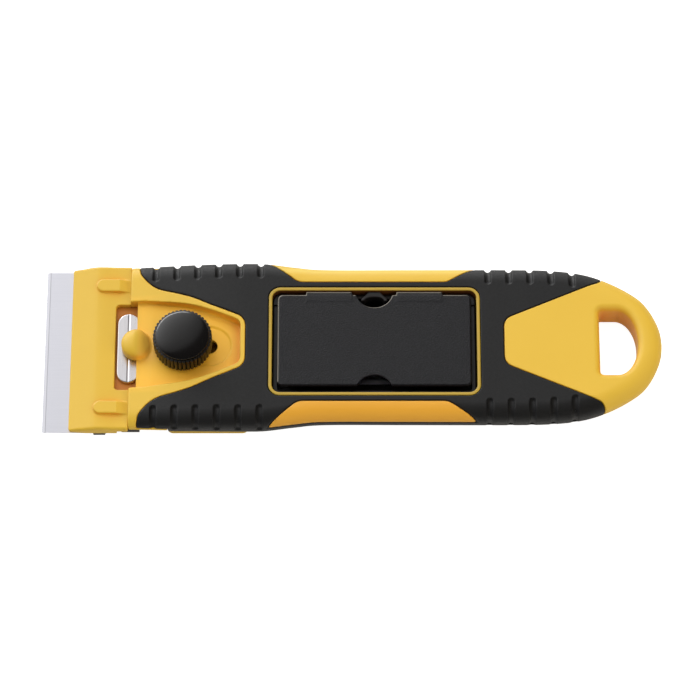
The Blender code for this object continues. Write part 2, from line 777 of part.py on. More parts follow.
def nub():
    """The low dome over the front edge of the deck, sloped away behind."""
    profile = [(NUB_RADIUS, HEAD_TOP)]
    for step in range(DOME_STEPS):
        angle = math.pi / 2 * step / DOME_STEPS
        rise = NUB_SHOULDER + (NUB_HEIGHT - NUB_SHOULDER) * math.sin(angle)
        profile.append((NUB_RADIUS * math.cos(angle), HEAD_TOP + rise))
    dome = turned(DECK_FRONT_X, 0, profile, sides=NUB_SIDES)
    crest = DECK_FRONT_X + NUB_CREST_SETBACK
    end = DECK_FRONT_X + NUB_RADIUS
    slope = [(crest, HEAD_TOP + NUB_HEIGHT), (end, DECK_FLOOR), (end, ABOVE), (crest, ABOVE)]
    return cut(dome, side_prism(slope, NUB_RADIUS))


def hanging_hole():
    """The rounded cutter of the hanging hole: flat in front, elliptic behind."""
    front = TAIL_X - HOLE_TO_TAIL
    middle = front + HOLE_STRAIGHT
    corners = [(middle, -HOLE_HALF_WIDTH, 0), (middle, HOLE_HALF_WIDTH, 0)]
    corners += [(front, HOLE_HALF_WIDTH, HOLE_CORNER), (front, -HOLE_HALF_WIDTH, HOLE_CORNER)]
    outline = rounded(corners, steps=CORNER_STEPS)
    arc = []
    for step in range(1, HOLE_STEPS):
        angle = -math.pi / 2 + math.pi * step / HOLE_STEPS
        arc.append((middle + HOLE_ROUND_LENGTH * math.cos(angle), HOLE_HALF_WIDTH * math.sin(angle)))
    outline = [outline[0]] + arc + outline[1:]
    return flared(outline, 0, HANDLE_THICKNESS, HOLE_ROUND)


def make_handle_core():
    """The hard moulding: deck, lugs, nub, store pocket, waist panels and tail."""
    core = envelope(GRIP_THICKNESS + FIT)
    join(core, *hard_regions(0))
    combine(core, envelope(), "INTERSECT")
    limit = POCKET_HALF_WIDTH
    key_end = KEY_X + KEY_HALF_WIDTH + BLADE_TRAVEL + FIT
    key_side = WINDOW_HALF_WIDTH - FIT
    key_room = KEY_LEVEL + KEY_HEIGHT + FIT
    cut(core, front_relief(), base_recess(), deck_pocket(), deck_ramp(), lug_round())
    cut(core, block(NOSE_X - OVERRUN, DECK_FRONT_X, -limit, limit, -OVERRUN, ABOVE))
    for side in (1, -1):
        low, high = sorted((side * (ARM_NEAR - FIT), side * (ARM_HALF_WIDTH + FIT)))
        cut(core, block(NOSE_X - OVERRUN, ARM_END_X + FIT, low, high, SLIDER_TOP - OVERRUN, HEAD_TOP + FIT))
    cut(core, block(NOSE_X - OVERRUN, key_end, -key_side, key_side, SLIDER_TOP - OVERRUN, key_room))
    wide = SLIDER_BLOCK_HALF_WIDTH + FIT
    end = BLOCK_END_X + BLADE_TRAVEL + FIT
    cut(core, block(BASE_X - OVERRUN, end, -wide, wide, -OVERRUN, BLOCK_TOP + FIT))
    join(core, nub())
    back = KNOB_X + BLADE_TRAVEL
    washer_room = WASHER_RADIUS + 2 * FIT
    cut(core, prism(slot_outline(KNOB_X, back, SLOT_HALF_WIDTH), 0, ABOVE))
    cut(core, prism(slot_outline(KNOB_X, back, washer_room), DECK_FLOOR - WASHER_RECESS_DEPTH, ABOVE))
    for x, y in base_screw_places():
        depth = SCREW_SINK + SCREW_HEAD_HEIGHT + SCREW_GRIP + FIT
        cut(core, disc(x, y, SCREW_RADIUS + FIT, -OVERRUN, depth, sides=SCREW_SIDES))
    for x, y in arm_screw_places():
        depth = HEAD_UNDERSIDE + SCREW_SINK + SCREW_HEAD_HEIGHT + ARM_SCREW_GRIP + FIT
        cut(core, disc(x, y, SCREW_RADIUS + FIT, HEAD_UNDERSIDE, depth, sides=SCREW_SIDES))
    cut(core, prism(store_outline(), STORE_FLOOR, ABOVE), hanging_hole())
    finish(core, "handle_core", YELLOW)


def make_grip():
    """The rubber skin: the outer form less a thinner core, with the hard regions left open."""
    grip = envelope()
    cut(grip, envelope(GRIP_THICKNESS), *hard_regions(FIT))
    cut(grip, thumb_grooves(), front_relief(), base_recess())
    finish(grip, "grip_overmould", RUBBER)


def head_profile():
    """The head cover's side profile: a thin lip, a rounded crest and a flat back."""
    crest_x = HEAD_FRONT_X + HEAD_CREST_SETBACK
    crest = HEAD_TOP + HEAD_CREST_RISE
    rear = NOSE_X - FIT
    low = BLADE_TOP + FIT
    front = [(HEAD_FRONT_X, low), (HEAD_FRONT_X, low + HEAD_LIP)]
    top = [(crest_x - HEAD_CREST_ROUND, crest - HEAD_CREST_SAG), (crest_x, crest),
           (crest_x + HEAD_CREST_ROUND, crest - HEAD_CREST_SAG / 2), (WINDOW_X, HEAD_TOP)]
    return front + top + [(rear, HEAD_TOP), (rear, low)]


def soften(thing, width, wanted):
    """Round the edges that a test picks."""
    shape = bmesh.new()
    shape.from_mesh(thing.data)
    edges = [edge for edge in shape.edges if wanted(*edge.verts)]
    bmesh.ops.bevel(shape, geom=edges, offset=width, segments=2, profile=0.5, affect="EDGES")
    shape.to_mesh(thing.data)
    shape.free()
    return thing


def make_head_cover():
    """The plate over the blade with its lip, ribs, window, side walls and arms."""
    cover = side_prism(head_profile(), HEAD_HALF_WIDTH)
    low = BLADE_TOP + FIT
    lip = low + HEAD_LIP - WELD
    soften(cover, HEAD_SIDE_ROUND,
           lambda a, b: a.co.y * b.co.y > 0 and abs(a.co.y - b.co.y) < WELD and min(a.co.z, b.co.z) > lip)
    taper_end = HEAD_FRONT_X + HEAD_TAPER_LENGTH
    half = [(ARM_END_X, HEAD_HALF_WIDTH), (taper_end, HEAD_HALF_WIDTH),
            (HEAD_FRONT_X - OVERRUN, HEAD_HALF_WIDTH - HEAD_CORNER_TAPER)]
    combine(cover, prism(mirrored(half), 0, ABOVE), "INTERSECT")
    inner = HEAD_HALF_WIDTH - HEAD_WALL
    rear = NOSE_X + OVERRUN
    cut(cover, block(HEAD_FRONT_X + HEAD_CAVITY_SETBACK, rear, -inner, inner, low - OVERRUN, HEAD_UNDERSIDE))
    wide = HEAD_HALF_WIDTH + OVERRUN
    wall_end = HEAD_FRONT_X + HEAD_WALL_LENGTH
    cut(cover, block(wall_end, rear, -wide, wide, low - OVERRUN, HEAD_UNDERSIDE))
    window = rectangle(WINDOW_X, rear, WINDOW_HALF_WIDTH, WINDOW_CORNER)
    cut(cover, prism(window, 0, ABOVE))
    for side in (1, -1):
        near, far = sorted((side * ARM_NEAR, side * ARM_HALF_WIDTH))
        join(cover, block(NOSE_X - OVERRUN, ARM_END_X, near, far, HEAD_UNDERSIDE, HEAD_TOP))
        join(cover, head_rib(side))
    for x, y in arm_screw_places():
        seat = HEAD_UNDERSIDE + SCREW_SINK + SCREW_HEAD_HEIGHT + FIT
        cut(cover, disc(x, y, SCREW_RADIUS + FIT, 0, ABOVE, sides=SCREW_SIDES))
        cut(cover, disc(x, y, SCREW_HEAD_RADIUS + FIT, 0, seat, sides=SCREW_HEAD_SIDES))
    finish(cover, "head_cover", YELLOW)


def head_rib(side):
    """One raised rib: a round front end and a ramp down to the lug."""
    start = NOSE_X - RIB_LENGTH
    end = NOSE_X - FIT
    top = HEAD_TOP + RIB_HEIGHT
    middle = side * RIB_CENTRE
    outline = rounded([(start, middle - RIB_HALF_WIDTH, RIB_CORNER),
                       (end, middle - RIB_HALF_WIDTH, 0), (end, middle + RIB_HALF_WIDTH, 0),
                       (start, middle + RIB_HALF_WIDTH, RIB_CORNER)])
    rib = prism(outline, HEAD_UNDERSIDE + FIT, top)
    flat_end = start + RIB_FLAT_LENGTH
    ramp = [(flat_end, top), (end + OVERRUN, HEAD_TOP), (end + OVERRUN, ABOVE), (flat_end, ABOVE)]
    return cut(rib, side_prism(ramp, HEAD_HALF_WIDTH))


def make_base_cover():
    """The plate that closes the carriage's channel from below."""
    cover = prism(rectangle(BASE_X, BASE_END_X, BASE_HALF_WIDTH, BASE_CORNER), 0, BASE_THICKNESS)
    for x, y in base_screw_places():
        seat = SCREW_SINK + SCREW_HEAD_HEIGHT + FIT
        cut(cover, disc(x, y, SCREW_RADIUS + FIT, -OVERRUN, OVERRUN, sides=SCREW_SIDES))
        cut(cover, disc(x, y, SCREW_HEAD_RADIUS + FIT, -OVERRUN, seat, sides=SCREW_HEAD_SIDES))
    finish(cover, "base_cover", YELLOW)


def screw(x, y, level, grip):
    """A pan head screw that points up."""
    seat = level + SCREW_HEAD_HEIGHT
    profile = [(SCREW_HEAD_RADIUS, level), (SCREW_HEAD_RADIUS, seat)]
    profile += [(SCREW_RADIUS, seat), (SCREW_RADIUS, seat + grip)]
    return turned(x, y, profile, sides=SCREW_HEAD_SIDES)


def make_screws():
    """The two sets of screws."""
    for index, (x, y) in enumerate(base_screw_places()):
        finish(screw(x, y, SCREW_SINK, SCREW_GRIP), f"base_screw_{index + 1}", STEEL)
    for index, (x, y) in enumerate(arm_screw_places()):
        level = HEAD_UNDERSIDE + SCREW_SINK
        finish(screw(x, y, level, ARM_SCREW_GRIP), f"head_screw_{index + 1}", STEEL)


def blade_solid(x, level):
    """A ground blade with its two holes, edge towards the front."""
    middle = level + BLADE_THICKNESS / 2
    top = level + BLADE_THICKNESS
    rear = x + BLADE_LENGTH
    bevel = x + BLADE_EDGE
    profile = [(x, middle), (bevel, top), (rear, top), (rear, level), (bevel, level)]
    blade = side_prism(profile, BLADE_WIDTH / 2)
    hole_x = x + BLADE_HOLE_SETBACK
    for side in (1, -1):
        hole = disc(hole_x, side * RIVET_Y, BLADE_HOLE_RADIUS, level - OVERRUN, top + OVERRUN, RIVET_SIDES)
        cut(blade, hole)
    return blade


def make_carriage(carriage):
    """The slider plate with the blade, its bed, the key, the rivets and the nut."""
    finish(blade_solid(EDGE_X, BLADE_LEVEL), "blade", STEEL, carriage)
    make_slider(carriage)
    make_bed(carriage)
    make_key(carriage)
    for index, side in enumerate((1, -1)):
        head = BED_LEVEL + RIVET_HEAD_HEIGHT
        profile = [(RIVET_HEAD_RADIUS, BED_LEVEL), (RIVET_HEAD_RADIUS, head), (RIVET_RADIUS, head),
                   (RIVET_RADIUS, SLIDER_TOP - FIT)]
        rivet = turned(RIVET_X, side * RIVET_Y, profile, sides=RIVET_SIDES)
        finish(rivet, f"bed_rivet_{index + 1}", STEEL, carriage)
    half = NUT_SIDE / 2
    level = BLOCK_LEVEL + FIT
    nut = block(KNOB_X - half, KNOB_X + half, -half, half, level, level + NUT_THICKNESS)
    cut(nut, disc(KNOB_X, 0, STUD_RADIUS + FIT, 0, ABOVE, sides=STUD_SIDES))
    finish(nut, "clamp_nut", STEEL, carriage)
    washer = disc(KNOB_X, 0, WASHER_RADIUS, WASHER_LEVEL, WASHER_LEVEL + WASHER_THICKNESS, sides=DISC_SIDES)
    cut(washer, disc(KNOB_X, 0, STUD_RADIUS + FIT, 0, ABOVE, sides=STUD_SIDES))
    finish(washer, "knob_washer", STEEL, carriage)


def make_slider(carriage):
    """The plate that carries the blade, with the thick block that holds the nut."""
    front = EDGE_X + SLIDER_FRONT_SETBACK
    wide = SLIDER_HALF_WIDTH
    narrow = SLIDER_BLOCK_HALF_WIDTH
    slider = block(front, BED_REAR_X, -wide, wide, SLIDER_LEVEL, SLIDER_TOP)
    join(slider, block(BED_REAR_X - OVERRUN, KNOB_X, -narrow, narrow, SLIDER_LEVEL, SLIDER_TOP))
    join(slider, block(BED_REAR_X + FIT, BLOCK_END_X, -narrow, narrow, BLOCK_LEVEL, BLOCK_TOP))
    pocket = NUT_SIDE / 2 + FIT
    roof = BLOCK_LEVEL + NUT_THICKNESS + 2 * FIT
    cut(slider, block(KNOB_X - pocket, KNOB_X + pocket, -pocket, pocket, 0, roof))
    cut(slider, disc(KNOB_X, 0, STUD_RADIUS + FIT, 0, ABOVE, sides=STUD_SIDES))
    for side in (1, -1):
        cut(slider, disc(RIVET_X, side * RIVET_Y, RIVET_RADIUS + FIT, 0, ABOVE, sides=RIVET_SIDES))
        cut(slider, disc(KEY_X, side * KEY_STEM_OFFSET, KEY_STEM_RADIUS + FIT, 0, ABOVE, sides=STEM_SIDES))
    finish(slider, "slider_plate", YELLOW, carriage)


def make_bed(carriage):
    """The plate under the blade, with a side lug and a wider bar at its rear."""
    front = EDGE_X + BED_FRONT_SETBACK
    lug = EDGE_X + BED_LUG_SETBACK
    lug_end = lug + BED_LUG_LENGTH
    bar = BED_REAR_X - BED_BAR_LENGTH
    half = [(front, BED_HALF_WIDTH), (lug, BED_HALF_WIDTH), (lug + BED_LUG_SLOPE, BED_LUG_HALF_WIDTH),
            (lug_end - BED_LUG_SLOPE, BED_LUG_HALF_WIDTH), (lug_end, BED_HALF_WIDTH), (bar, BED_HALF_WIDTH),
            (bar, BED_BAR_HALF_WIDTH), (BED_REAR_X, BED_BAR_HALF_WIDTH)]
    bed = prism(mirrored(half), BED_LEVEL, BED_LEVEL + BED_THICKNESS)
    seat = BED_LEVEL + RIVET_HEAD_HEIGHT + FIT
    for side in (1, -1):
        cut(bed, disc(RIVET_X, side * RIVET_Y, RIVET_RADIUS + FIT, 0, ABOVE, sides=RIVET_SIDES))
        cut(bed, disc(RIVET_X, side * RIVET_Y, RIVET_HEAD_RADIUS + FIT, 0, seat, sides=RIVET_SIDES))
        cut(bed, disc(KEY_X, side * KEY_STEM_OFFSET, KEY_STEM_RADIUS + FIT, 0, ABOVE, sides=STEM_SIDES))
    finish(bed, "blade_bed", BLACK, carriage)


def make_key(carriage):
    """The bright boss seen in the window, with two stems down into the bed."""
    low = KEY_LEVEL
    top = low + KEY_HEIGHT
    outline = stadium(KEY_X, KEY_HALF_WIDTH, KEY_HALF_LENGTH)
    levels = [(0, low), (0, top - KEY_EDGE), (-KEY_EDGE, top)]
    key = stack("key", [[(x, y, level) for x, y in grown(outline, grow)] for grow, level in levels])
    for side in (1, -1):
        y = side * KEY_STEM_OFFSET
        join(key, disc(KEY_X, y, KEY_STEM_RADIUS, BED_LEVEL + FIT, low + KEY_EDGE, sides=STEM_SIDES))
    finish(key, "blade_key", STEEL, carriage)


def make_knob(axis):
    """The knurled knob, its domed cap and the stud with a hexagon head moulded in."""
    shape = []
    for index in range(2 * KNOB_TEETH):
        angle = math.pi * index / KNOB_TEETH
        shape.append((angle, KNOB_RADIUS - KNOB_TOOTH_DEPTH * (index % 2)))
    loops = []
    rims = [(KNOB_EDGE, KNOB_LEVEL), (0, KNOB_LEVEL + KNOB_EDGE)]
    rims += [(0, KNOB_TOP - KNOB_EDGE), (KNOB_EDGE, KNOB_TOP)]
    for inset, level in rims:
        loop = []
        for angle, radius in shape:
            reach = min(radius, KNOB_RADIUS - inset)
            loop.append((KNOB_X + reach * math.cos(angle), reach * math.sin(angle), level))
        loops.append(loop)
    knob = stack("knob", loops)
    head_room = STUD_HEAD_LEVEL - FIT
    cut(knob, disc(KNOB_X, 0, CAP_SPIGOT_RADIUS + FIT, KNOB_RECESS_LEVEL, ABOVE, sides=DISC_SIDES))
    cut(knob, disc(KNOB_X, 0, STUD_HEAD_RADIUS + FIT, head_room, ABOVE, sides=HEX_SIDES))
    cut(knob, disc(KNOB_X, 0, STUD_RADIUS + FIT, 0, ABOVE, sides=STUD_SIDES))
    finish(knob, "knob", BLACK, axis)
    profile = [(CAP_SPIGOT_RADIUS, KNOB_RECESS_LEVEL + FIT), (CAP_SPIGOT_RADIUS, CAP_LEVEL)]
    profile += [(CAP_RADIUS, CAP_LEVEL), (CAP_RADIUS, CAP_LEVEL + CAP_EDGE)]
    for step in range(1, DOME_STEPS):
        angle = math.pi / 2 * step / DOME_STEPS
        rise = CAP_EDGE + (CAP_CROWN - CAP_EDGE) * math.sin(angle)
        profile.append((CAP_RADIUS * math.cos(angle), CAP_LEVEL + rise))
    profile.append((CAP_EDGE, CAP_LEVEL + CAP_CROWN))
    finish(turned(KNOB_X, 0, profile), "knob_cap", GLOSS, axis)
    stud = disc(KNOB_X, 0, STUD_RADIUS, BLOCK_LEVEL, STUD_HEAD_LEVEL + FIT, sides=STUD_SIDES)
    head_top = STUD_HEAD_LEVEL + STUD_HEAD_HEIGHT
    head = disc(KNOB_X, 0, STUD_HEAD_RADIUS, STUD_HEAD_LEVEL, head_top, sides=HEX_SIDES)
    finish(join(stud, head), "knob_stud", STEEL, axis)


def lobe_spans():
    """The two hinge lobes' ends along the tool."""
    middles = (STORE_X - LOBE_OFFSET, STORE_X + LOBE_OFFSET)
    return [(middle - LOBE_LENGTH / 2, middle + LOBE_LENGTH / 2) for middle in middles]


def make_tray():
    """The box for spare blades, with corner posts, cradles for the lid's lobes and a tongue in its notch."""
    tray = prism(store_outline(-FIT), TRAY_LEVEL, TRAY_POST_TOP)
    cut(tray, prism(store_outline(-FIT - TRAY_WALL), TRAY_LEVEL + TRAY_FLOOR, ABOVE))
    outer_y = STORE_WIDTH / 2 - FIT
    inner_y = outer_y - TRAY_WALL
    past_x = STORE_LENGTH / 2 + OVERRUN
    past_y = STORE_WIDTH / 2 + OVERRUN
    post_x = STORE_LENGTH / 2 - TRAY_POST_LENGTH
    post_y = STORE_WIDTH / 2 - TRAY_POST_WIDTH
    cut(tray, block(STORE_X - past_x, STORE_X + past_x, -past_y, post_y, TRAY_WALL_TOP, ABOVE))
    cut(tray, block(STORE_X - post_x, STORE_X + post_x, -past_y, past_y, TRAY_WALL_TOP, ABOVE))
    seat = LOBE_RADIUS + FIT
    for low_x, high_x in lobe_spans():
        floor = HINGE_Z - seat - CRADLE_FLOOR
        join(tray, block(low_x, high_x, HINGE_Y - seat, inner_y + FIT, floor, TRAY_WALL_TOP))
        cut(tray, barrel(low_x - FIT, high_x + FIT, HINGE_Y, HINGE_Z, seat))
    root_y = outer_y - TONGUE_REACH
    half_tip = TONGUE_TIP_WIDTH / 2
    half_root = TONGUE_ROOT_WIDTH / 2
    tongue = prism([(STORE_X - half_tip, outer_y), (STORE_X + half_tip, outer_y),
                    (STORE_X + half_root, root_y), (STORE_X - half_root, root_y)],
                   TRAY_WALL_TOP - OVERRUN / 2, HANDLE_THICKNESS - TONGUE_DROP)
    join(tray, tongue)
    finish(tray, "spare_tray", BLACK)
    for index in range(SPARE_BLADES):
        level = TRAY_LEVEL + TRAY_FLOOR + FIT + index * (BLADE_THICKNESS + FIT)
        spare = blade_solid(STORE_X, level)
        turn_spare(spare)
        finish(spare, f"spare_blade_{index + 1}", STEEL)


def turn_spare(spare):
    """Lay a spare blade lengthwise in the tray."""
    for vertex in spare.data.vertices:
        x = vertex.co.x - STORE_X - BLADE_LENGTH / 2
        y = vertex.co.y
        vertex.co.x = STORE_X - y
        vertex.co.y = x


def make_lid(hinge):
    """The bevelled lid with two hinge lobes and two finger notches."""
    low_x = STORE_X - STORE_LENGTH / 2 + LID_GAP
    high_x = STORE_X + STORE_LENGTH / 2 - LID_GAP
    half_y = STORE_WIDTH / 2 - LID_SIDE_GAP
    outline = rectangle(low_x, high_x, half_y, LID_CORNER)
    top_outline = rectangle(low_x + LID_BEVEL, high_x - LID_BEVEL, half_y - LID_BEVEL, LID_CORNER / 2)
    loops = [[(x, y, level) for x, y in outline] for level in (LID_UNDERSIDE, LID_TOP - LID_BEVEL_DROP)]
    loops.append([(x, y, LID_TOP) for x, y in top_outline])
    lid = stack("lid", loops)
    for span in lobe_spans():
        join(lid, block(*span, half_y - 2 * LID_BEVEL, HINGE_Y, LID_UNDERSIDE, LID_TOP))
        join(lid, barrel(*span, HINGE_Y, HINGE_Z, LOBE_RADIUS))
    for side in (1, -1):
        cut(lid, disc(STORE_X, side * STORE_WIDTH / 2, NOTCH_RADIUS, 0, ABOVE, sides=DISC_SIDES))
    finish(lid, "tray_lid", GRAINED, hinge)


for thing in list(bpy.data.objects):
    bpy.data.objects.remove(thing)

YELLOW = material("yellow_plastic", (0.83, 0.50, 0.07), 0.45)
RUBBER = material("black_rubber", (0.030, 0.030, 0.032), 0.75)
BLACK = material("black_plastic", (0.022, 0.020, 0.020), 0.50)
GRAINED = material("grained_plastic", (0.034, 0.034, 0.036), 0.60)
GLOSS = material("gloss_plastic", (0.015, 0.015, 0.018), 0.15)
STEEL = material("bright_steel", (0.72, 0.72, 0.76), 0.28, 1.0)

make_handle_core()
make_grip()
make_head_cover()
make_base_cover()
make_screws()
make_carriage(carrier("carriage", KNOB_X, 0, SLIDER_LEVEL))
make_knob(carrier("knob_axis", KNOB_X, 0, KNOB_LEVEL))
make_tray()
make_lid(carrier("lid_axis", STORE_X, HINGE_Y, HINGE_Z))
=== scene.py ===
"""Finish, light and camera of the hand scraper.

The moulded pieces are modelled as fields: each is the overlap of a few rules, such as inside the
handle's outer form, outside the rubber, above the deck. A rule is a signed distance in millimetres,
negative on the solid side. The surface where the rules meet is meshed with its own crisp edges, and
soft edges are written into the rules as round joins.
"""
import math

import bmesh
import bpy
import numpy as np
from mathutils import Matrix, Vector


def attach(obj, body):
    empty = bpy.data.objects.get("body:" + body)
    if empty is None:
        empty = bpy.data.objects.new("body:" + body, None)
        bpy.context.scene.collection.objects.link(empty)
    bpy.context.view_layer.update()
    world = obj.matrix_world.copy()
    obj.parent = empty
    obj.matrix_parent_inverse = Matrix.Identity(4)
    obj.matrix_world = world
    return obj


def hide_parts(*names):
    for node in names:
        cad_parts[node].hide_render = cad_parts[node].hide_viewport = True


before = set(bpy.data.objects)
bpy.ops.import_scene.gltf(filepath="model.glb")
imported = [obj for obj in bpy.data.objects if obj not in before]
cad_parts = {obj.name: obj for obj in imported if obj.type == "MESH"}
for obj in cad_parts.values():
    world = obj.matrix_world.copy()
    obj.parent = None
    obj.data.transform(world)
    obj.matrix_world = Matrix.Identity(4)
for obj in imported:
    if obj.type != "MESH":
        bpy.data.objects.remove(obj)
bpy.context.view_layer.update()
MM = 0.001

# Driving sizes, repeated from the construction, in millimetres
FIT = 0.3
HANDLE_LENGTH = 180.7
HANDLE_HALF_WIDTH = 30.8
HANDLE_THICKNESS = 12.4
HANDLE_EDGE_ROUND = 6.0
WIDEST_LEVEL_SHARE = 0.645
NOSE_THICKNESS = 9.6
NOSE_RISE = 39.7
HEAD_LENGTH = 20.15
BLADE_TRAVEL = 9.0
TAIL_X = (HANDLE_LENGTH + HEAD_LENGTH + BLADE_TRAVEL) / 2
NOSE_X = TAIL_X - HANDLE_LENGTH
HEAD_FRONT_X = NOSE_X - HEAD_LENGTH
EDGE_X = HEAD_FRONT_X - BLADE_TRAVEL
KNOB_X = NOSE_X + 18.2
STORE_X = TAIL_X - 97.6
STORE_HALF_LENGTH = 34.7
STORE_HALF_WIDTH = 19.0
SLIDER_TOP = 5.0
HEAD_TOP = 7.3
LID_TOP = 12.1
HINGE_Y = 17.1
HINGE_Z = 10.8

# Places along the tool that several pieces share
BASE_X = NOSE_X + 13.0
DECK_FRONT_X = NOSE_X + 2.4
KEY_X = NOSE_X - 0.5
ARM_END_X = NOSE_X + 11.7
LOBE_MIDDLE = 15.35
LOBE_HALF_LENGTH = 7.85
LOBE_SPANS = [(STORE_X + middle - LOBE_HALF_LENGTH, STORE_X + middle + LOBE_HALF_LENGTH)
              for middle in (-LOBE_MIDDLE, LOBE_MIDDLE)]

# How the fields are drawn on a grid and meshed
PLAN_MARGIN = 9.0
PLAN_PITCH = 0.25
PLAN_EDGE = 1.001
BLOCK_CELLS = 8
BLOCKS_AT_ONCE = 600
STEEPEST_FIELD = 1.25
GRID_LEAD = 1.37
GRID_SPARE = 3
CROSSING_MARGIN = 0.02
SETTLE_ROUNDS = 6
FLATTEST_SLOPE = 0.25
LEAST_NORMAL = 1e-9
SHARP_DEGREES = 40
SLOPE_REACH = 0.02


class PlanMap:
    """The signed distance to a closed outline in plan, read from a fine grid."""

    def __init__(self, outline, margin=PLAN_MARGIN, pitch=PLAN_PITCH):
        points = np.array(outline, dtype=float)
        self.low = points.min(axis=0) - margin
        self.pitch = pitch
        size = np.ceil((points.max(axis=0) + margin - self.low) / pitch).astype(int) + 2
        xs = self.low[0] + pitch * np.arange(size[0])
        ys = self.low[1] + pitch * np.arange(size[1])
        x, y = np.meshgrid(xs, ys, indexing="ij")
        nearest = np.full(x.shape, np.inf)
        inside = np.zeros(x.shape, dtype=bool)
        for (ax, ay), (bx, by) in zip(points, np.roll(points, -1, axis=0)):
            dx, dy = bx - ax, by - ay
            length = dx * dx + dy * dy
            if length == 0:
                continue
            share = np.clip(((x - ax) * dx + (y - ay) * dy) / length, 0, 1)
            nearest = np.minimum(nearest, (x - ax - share * dx) ** 2 + (y - ay - share * dy) ** 2)
            if dy != 0:
                crosses = ((ay > y) != (by > y)) & (x < ax + (y - ay) * dx / dy)
                inside ^= crosses
        self.grid = np.where(inside, -1.0, 1.0) * np.sqrt(nearest)

    def __call__(self, x, y):
        """The distance at points, between the grid's values."""
        u = np.clip((x - self.low[0]) / self.pitch, 0, self.grid.shape[0] - PLAN_EDGE)
        v = np.clip((y - self.low[1]) / self.pitch, 0, self.grid.shape[1] - PLAN_EDGE)
        i, j = u.astype(int), v.astype(int)
        s, t = u - i, v - j
        low = self.grid[i, j] * (1 - t) + self.grid[i, j + 1] * t
        high = self.grid[i + 1, j] * (1 - t) + self.grid[i + 1, j + 1] * t
        return low * (1 - s) + high * s


def overlap(first, second, radius):
    """Inside both rules, with the convex edge between them rounded."""
    u = np.maximum(first + radius, 0)
    v = np.maximum(second + radius, 0)
    return np.minimum(np.maximum(first, second), -radius) + np.hypot(u, v)


def blend(first, second, radius):
    """Inside either rule, with a fillet in the corner between them."""
    u = np.maximum(radius - first, 0)
    v = np.maximum(radius - second, 0)
    return np.maximum(np.minimum(first, second), radius) - np.hypot(u, v)


def slab(value, low, high):
    """Between two levels."""
    return np.maximum(low - value, value - high)


def pad(x, y, middle_x, middle_y, half_x, half_y, radius):
    """Inside a rounded rectangle in any two directions."""
    u = np.abs(x - middle_x) - half_x + radius
    v = np.abs(y - middle_y) - half_y + radius
    return np.hypot(np.maximum(u, 0), np.maximum(v, 0)) + np.minimum(np.maximum(u, v), 0) - radius


def sample(rules, low, count, step):
    """The highest rule at every grid point. Blocks of the grid far from the surface are not read."""
    values = np.empty(count, dtype=np.float32)
    blocks = [range(0, size, BLOCK_CELLS) for size in count]
    half = step * (BLOCK_CELLS - 1) / 2
    reach = half * math.sqrt(3) * STEEPEST_FIELD + step
    starts = np.array([(i, j, k) for i in blocks[0] for j in blocks[1] for k in blocks[2]])
    middles = low + starts * step + half
    rough = np.max(rules(*middles.T), axis=0)
    span = range(BLOCK_CELLS)
    offsets = np.array([(i, j, k) for i in span for j in span for k in span])
    far = np.abs(rough) > reach
    for (i, j, k), value in zip(starts[far], rough[far]):
        values[i:i + BLOCK_CELLS, j:j + BLOCK_CELLS, k:k + BLOCK_CELLS] = value
    near = starts[~far]
    for chunk in np.array_split(near, max(1, len(near) // BLOCKS_AT_ONCE)):
        cells = (chunk[:, None, :] + offsets[None, :, :]).reshape(-1, 3)
        cells = cells[(cells < count).all(axis=1)]
        values[tuple(cells.T)] = np.max(rules(*(low + cells * step).T), axis=0)
    return values


def slopes(rules, points, reach=SLOPE_REACH):
    """The value and the direction of every rule at points."""
    values = np.array(rules(*points.T))
    directions = np.empty(values.shape + (3,))
    for axis in range(3):
        shift = np.zeros(3)
        shift[axis] = reach
        ahead = np.array(rules(*(points + shift).T))
        behind = np.array(rules(*(points - shift).T))
        directions[..., axis] = (ahead - behind) / (2 * reach)
    return values, directions


def crossings(values, count):
    """Where edges of the grid cross the surface, with the four cells round each and which end is inside."""
    inside = values < 0
    places, cells_round, flips = [], [], []
    for axis in range(3):
        here = [slice(None)] * 3
        after = [slice(None)] * 3
        here[axis] = slice(0, -1)
        after[axis] = slice(1, None)
        first, second = inside[tuple(here)], inside[tuple(after)]
        crossing = np.argwhere(first != second)
        value_a = values[tuple(here)][tuple(crossing.T)]
        value_b = values[tuple(after)][tuple(crossing.T)]
        place = crossing.astype(float)
        place[:, axis] += np.clip(value_a / (value_a - value_b), CROSSING_MARGIN, 1 - CROSSING_MARGIN)
        places.append(place)
        flips.append(first[tuple(crossing.T)])
        others = [other for other in range(3) if other != axis]
        ring = []
        turns = ((-1, -1), (0, -1), (0, 0), (-1, 0))
        for du, dv in turns if axis != 1 else turns[::-1]:
            cell = crossing.copy()
            cell[:, others[0]] += du
            cell[:, others[1]] += dv
            ring.append(np.ravel_multi_index(tuple(cell.T), count, mode="clip"))
        cells_round.append(np.array(ring).T)
    return np.concatenate(places), np.concatenate(cells_round), np.concatenate(flips)


def gather(places, ring, label):
    """One point for each cell amid its crossings, with a bit for each rule that it touches."""
    used, corner = np.unique(ring.ravel(), return_inverse=True)
    quads = corner.reshape(-1, 4)
    total = np.zeros((len(used), 3))
    hits = np.zeros(len(used))
    touched = np.zeros(len(used), dtype=np.int64)
    for side in range(4):
        np.add.at(total, quads[:, side], places)
        np.add.at(hits, quads[:, side], 1)
        np.bitwise_or.at(touched, quads[:, side], 1 << label)
    return quads, total / hits[:, None], touched


